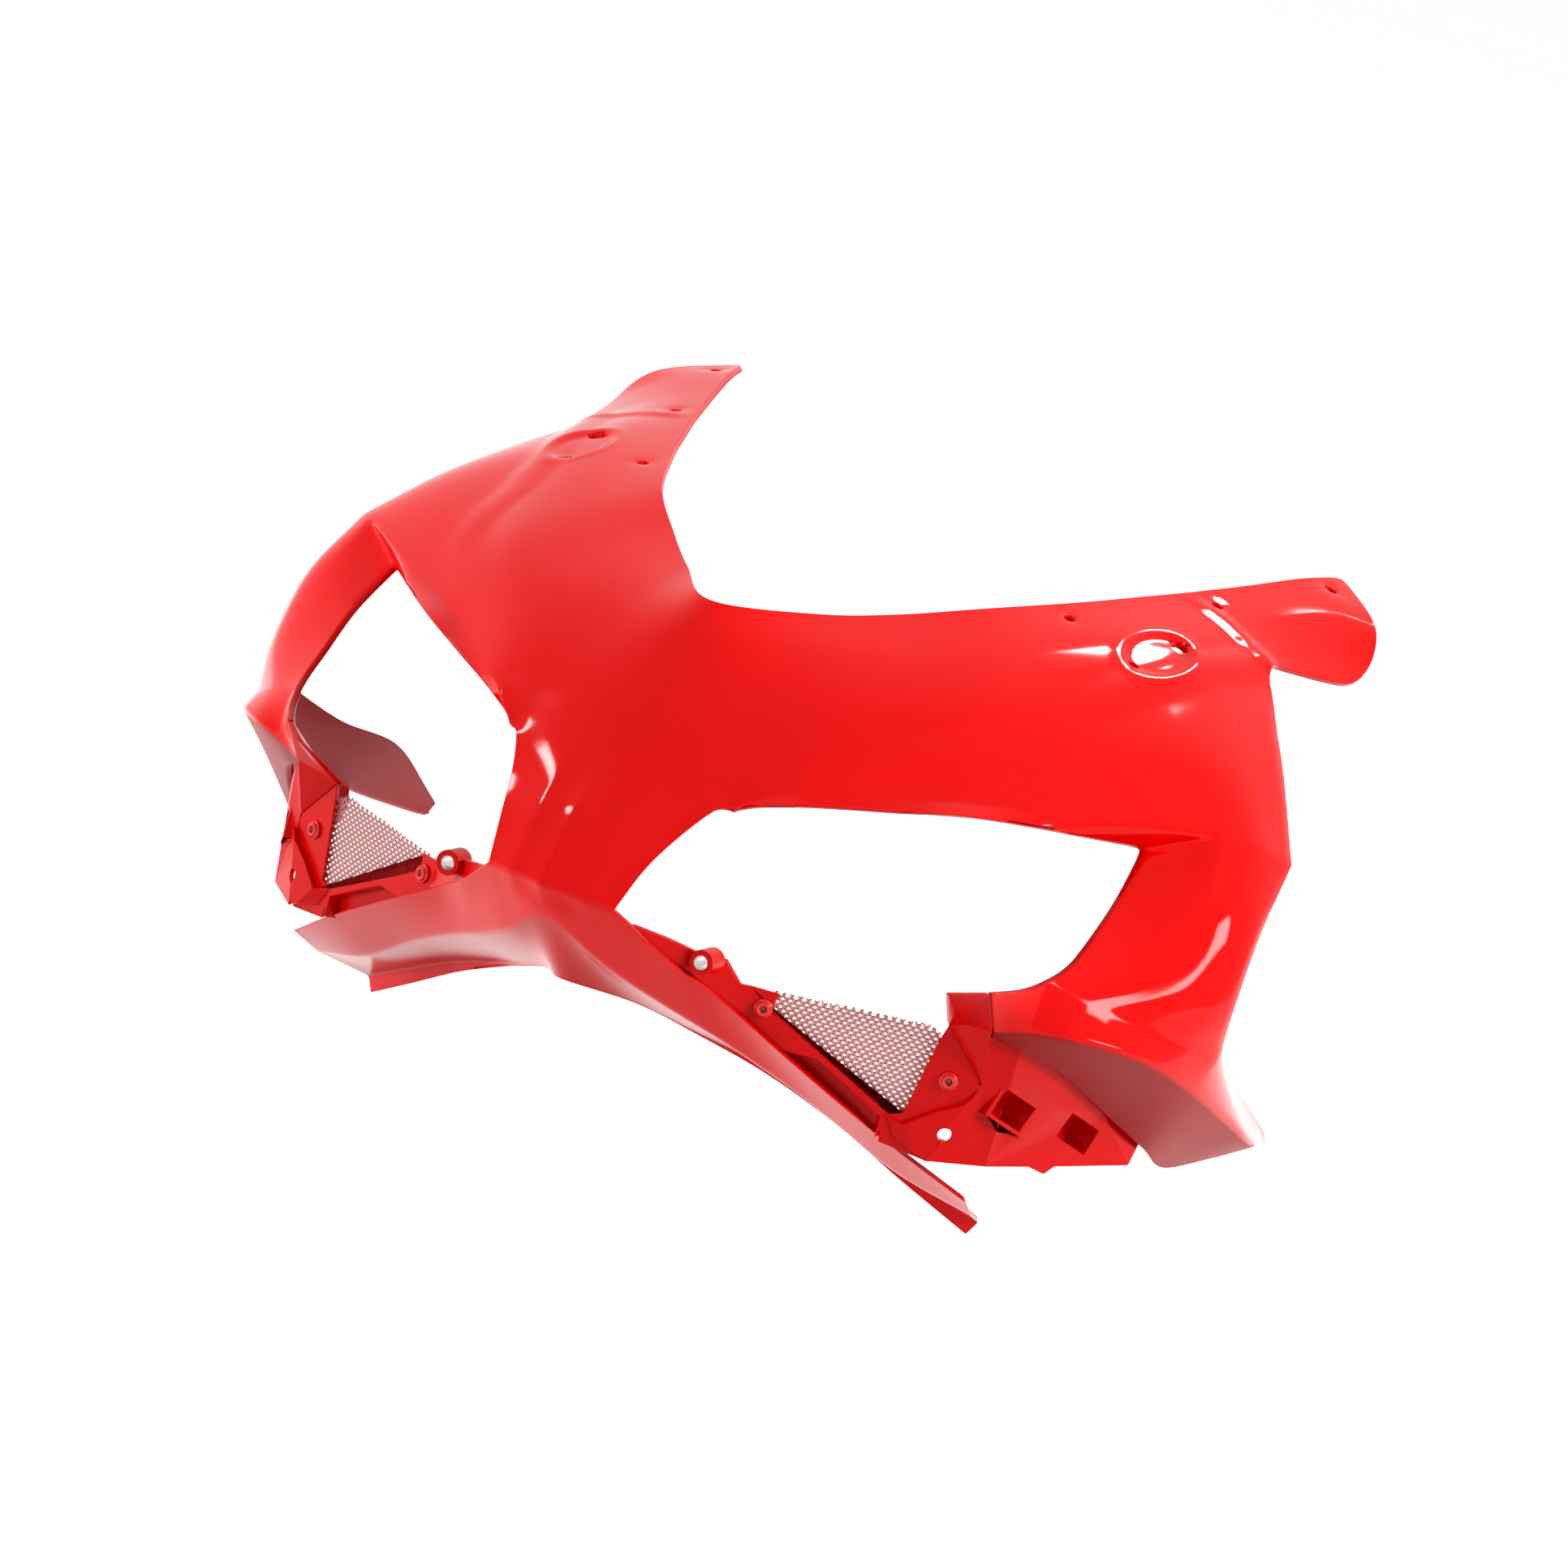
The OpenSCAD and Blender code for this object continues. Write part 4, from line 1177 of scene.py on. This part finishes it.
@dataclass
class GrilleScrews:
    """Ring-headed screws that hold each grille, with a round recess and a rolled thread."""

    face: PanelFace
    spots: tuple[Pair, ...] = ((7.3, 34.6), (98.0, 45.6))
    head: float = 9.0
    front: float = -2.7
    seat: float = -0.3
    thread: float = 4.0
    end: float = 7.8
    thread_pitch: float = 0.8

    def profile(self) -> Array:
        """Draws the half section, from the recess in the head to the tip of the thread.

        The head's ring is half a round of its crest; the thread's radius swings by 0.25 mm.
        """
        r = self.head / 2
        swing = np.arange(self.seat + 0.4, self.end - 0.6, self.thread_pitch / 4)
        shank = self.thread / 2 - 0.25 + 0.25 * np.cos(2 * np.pi * swing / self.thread_pitch)
        head = [(0, -0.9), (0.9, -0.9), (1.45, -1.1), (1.6, self.front + 0.5), (1.9, self.front + 0.15),
                (2.4, self.front), (2.9, self.front + 0.05), (3.3, self.front + 0.35), (3.45, -1.9),
                (3.6, -1.45), (4.0, -1.3), (r - 0.1, -1.05), (r, -0.75), (r - 0.05, self.seat - 0.1),
                (r - 0.4, self.seat), (self.thread / 2, self.seat)]
        tip = [(1.2, self.end - 0.25), (0.7, self.end), (0, self.end)]
        return np.array(head + list(zip(shank, swing)) + tip)

    def build(self, bench: Bench, finish: bpy.types.Material) -> bpy.types.Object:
        """Sets the four screws into their holes.

        Args:
            bench: Where the piece is put together.
            finish: The screws' material.

        Returns:
            The piece.
        """
        profile = self.profile()
        points, faces = turned(profile, 28)
        # The recess mark: the hole in the head and the thread, which the paint darkens as painted shade.
        in_hole = (np.hypot(points[:, 0], points[:, 1]) < 1.55) & (points[:, 2] < -0.5)
        recess = in_hole | (points[:, 2] > 0)
        frames = []
        for s, down in self.spots:
            origin = self.face.at(np.array([s, down, 0.0]))
            axes = self.face.axes()
            frames += [(origin, axes), (origin * [-1, 1, 1], axes * [-1, 1, 1])]
        mesh = bench.mesh("grille_screws", *set_out(points, faces, frames))
        marked(mesh, "recess", np.tile(recess, len(frames)))
        return bench.stand(mesh, "mesh_screws", "screw_red", finish)


# ---------------------------------------------------------------- studio


@dataclass
class Lamp:
    """A soft square lamp: where it hangs, its side, its power and whether gloss mirrors it."""

    name: str
    at: Triple
    size: float
    watts: float
    mirrored: bool
    faces: Triple = (0.0, 0.15, 0.02)

    def hang(self) -> None:
        """Adds the lamp to the scene."""
        data = bpy.data.lights.new(self.name, "AREA")
        data.size, data.energy = self.size, self.watts
        lamp = bpy.data.objects.new(self.name, data)
        lamp.location = self.at
        lamp.visible_glossy = self.mirrored
        lamp.rotation_euler = (Vector(self.faces) - Vector(self.at)).to_track_quat("-Z", "Y").to_euler()
        bpy.context.scene.collection.objects.link(lamp)


@dataclass
class Studio:
    """Camera, lamps, floor and backdrop. Angles are in degrees, pixels of a 1932 frame.

    The fills light the paint and stay out of its gloss, where only the gleams are mirrored.
    """

    bench: Bench
    frame: int = 1932
    azimuth: float = 22.0
    elevation: float = 12.0
    roll: float = 16.1
    focal_pixels: float = 8000.0
    distance: float = 2900.0
    foot_pixel: Pair = (665.0, 1090.0)
    sensor: float = 36.0
    ambient: float = 0.15
    floor_height: float = -0.1225
    floor_radius: float = 30.0
    floor_lift: float = 0.88
    floor_colours: Pair = (0.70, 0.74)
    lamps: tuple[Lamp, ...] = (
        Lamp("rear_right_fill", (1.8, 1.5, 1.1), 0.9, 14, False),
        Lamp("high_right_fill", (1.5, 0.0, 2.0), 0.9, 21, False),
        Lamp("low_left_fill", (-1.6, -1.7, 0.1), 0.7, 26, False),
        Lamp("left_fill", (-2.3, 0.1, 0.7), 0.9, 24, False),
        Lamp("right_gleam", (2.06, 0.11, 0.87), 0.5, 26, True),
        Lamp("rear_gleam", (0.09, 1.68, 1.78), 0.36, 18, True),
        Lamp("left_gleam", (-1.8, -0.45, 1.25), 0.18, 5, True))

    def axes(self) -> Array:
        """Gives the camera's right, down and forward directions as rows."""
        az, el, roll = (math.radians(v) for v in (self.azimuth, self.elevation, self.roll))
        forward = vec(-math.sin(az) * math.cos(el), math.cos(az) * math.cos(el), -math.sin(el))
        right = vec(math.cos(az), math.sin(az), 0)
        down = np.cross(forward, right)
        return np.stack([
            math.cos(roll) * right - math.sin(roll) * down,
            math.sin(roll) * right + math.cos(roll) * down, forward])

    def make_camera(self) -> None:
        """Aims the camera so that the foot of the nose falls on its place in the frame."""
        rows = self.axes()
        off = (np.array(self.foot_pixel) - self.frame / 2) * self.distance / self.focal_pixels
        eye = self.bench.place(-rows.T @ np.array([off[0], off[1], self.distance]))
        data = bpy.data.cameras.new("camera")
        data.sensor_width = self.sensor
        data.lens = self.focal_pixels / self.frame * self.sensor
        data.clip_start, data.clip_end = 0.05, 80.0
        camera = bpy.data.objects.new("camera", data)
        turn = Matrix([rows[0], -rows[1], -rows[2]]).transposed().to_4x4()
        camera.matrix_world = Matrix.Translation(Vector(eye)) @ turn
        bpy.context.scene.collection.objects.link(camera)
        bpy.context.scene.camera = camera

    def seen(self, tree: bpy.types.NodeTree) -> Socket:
        """Gives 1 for rays from the camera, in gloss and through clear material, else 0."""
        path = tree.nodes.new("ShaderNodeLightPath")
        total = path.outputs["Is Camera Ray"]
        for name in ("Is Glossy Ray", "Is Transmission Ray"):
            node = tree.nodes.new("ShaderNodeMath")
            node.operation = "MAXIMUM"
            tree.links.new(total, node.inputs[0])
            tree.links.new(path.outputs[name], node.inputs[1])
            total = node.outputs[0]
        return total

    def make_world(self) -> None:
        """Lights evenly from all round and shows white behind the object."""
        world = bpy.data.worlds.new("studio")
        bpy.context.scene.world = world
        world.use_nodes = True
        nodes, links = world.node_tree.nodes, world.node_tree.links
        shade = nodes["Background"]
        strength = nodes.new("ShaderNodeMapRange")
        strength.inputs["To Min"].default_value = self.ambient
        strength.inputs["To Max"].default_value = 1.0
        links.new(self.seen(world.node_tree), strength.inputs["Value"])
        links.new(strength.outputs["Result"], shade.inputs["Strength"])
        shade.inputs["Color"].default_value = (1, 1, 1, 1)

    def make_floor(self) -> None:
        """Lays a wide pale floor that looks white from the camera, in gloss and through glass."""
        rim = self.floor_radius
        points, faces = turned(np.array([(0, -0.02), (rim, -0.02), (rim, 0), (0, 0)]), 64)
        mesh = bpy.data.meshes.new("floor")
        mesh.from_pydata(
            (points + [0, 0, self.floor_height]).tolist(), [], [f.tolist() for part in faces for f in part])
        floor = bpy.data.objects.new("floor", mesh)
        bpy.context.scene.collection.objects.link(floor)
        shade = Shade("pale_floor")
        cloud = shade.noise(3.0)
        low, high = ((grey, grey, grey) for grey in self.floor_colours)
        shade.give(Base_Color=shade.mix(cloud, low, high))
        shade.give(Roughness=0.9)
        shade.give(Specular_IOR_Level=0.0)
        shade.give(Emission_Color=(1, 1, 1))
        shade.give(Emission_Strength=shade.between(self.seen(shade.tree), 0.0, self.floor_lift))
        mesh.materials.append(shade.material)

    def build(self) -> None:
        """Sets up the whole studio."""
        self.make_camera()
        self.make_world()
        self.make_floor()
        for lamp in self.lamps:
            lamp.hang()
        bpy.context.scene.view_settings.view_transform = "Standard"


def main() -> None:
    """Builds the fairing's pieces and its studio in order."""
    logging.basicConfig(level=logging.INFO, format="%(name)s: %(message)s")
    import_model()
    bench = Bench()
    face = PanelFace()
    form = SkinForm()
    FairingSkin(form, bench).build(GlossPaint().make())
    lip = form.sheets()["chin_front"].grid[0]
    satin, metal = SatinPaint().make(), MeshMetal().make()
    for side in Side:
        DuctPanel(side, lip).build(bench, satin)
        Grille(side, face).build(bench, metal)
    GrilleScrews(face).build(bench, ScrewPaint().make())
    Studio(bench).build()


if __name__ == "__main__":
    main()
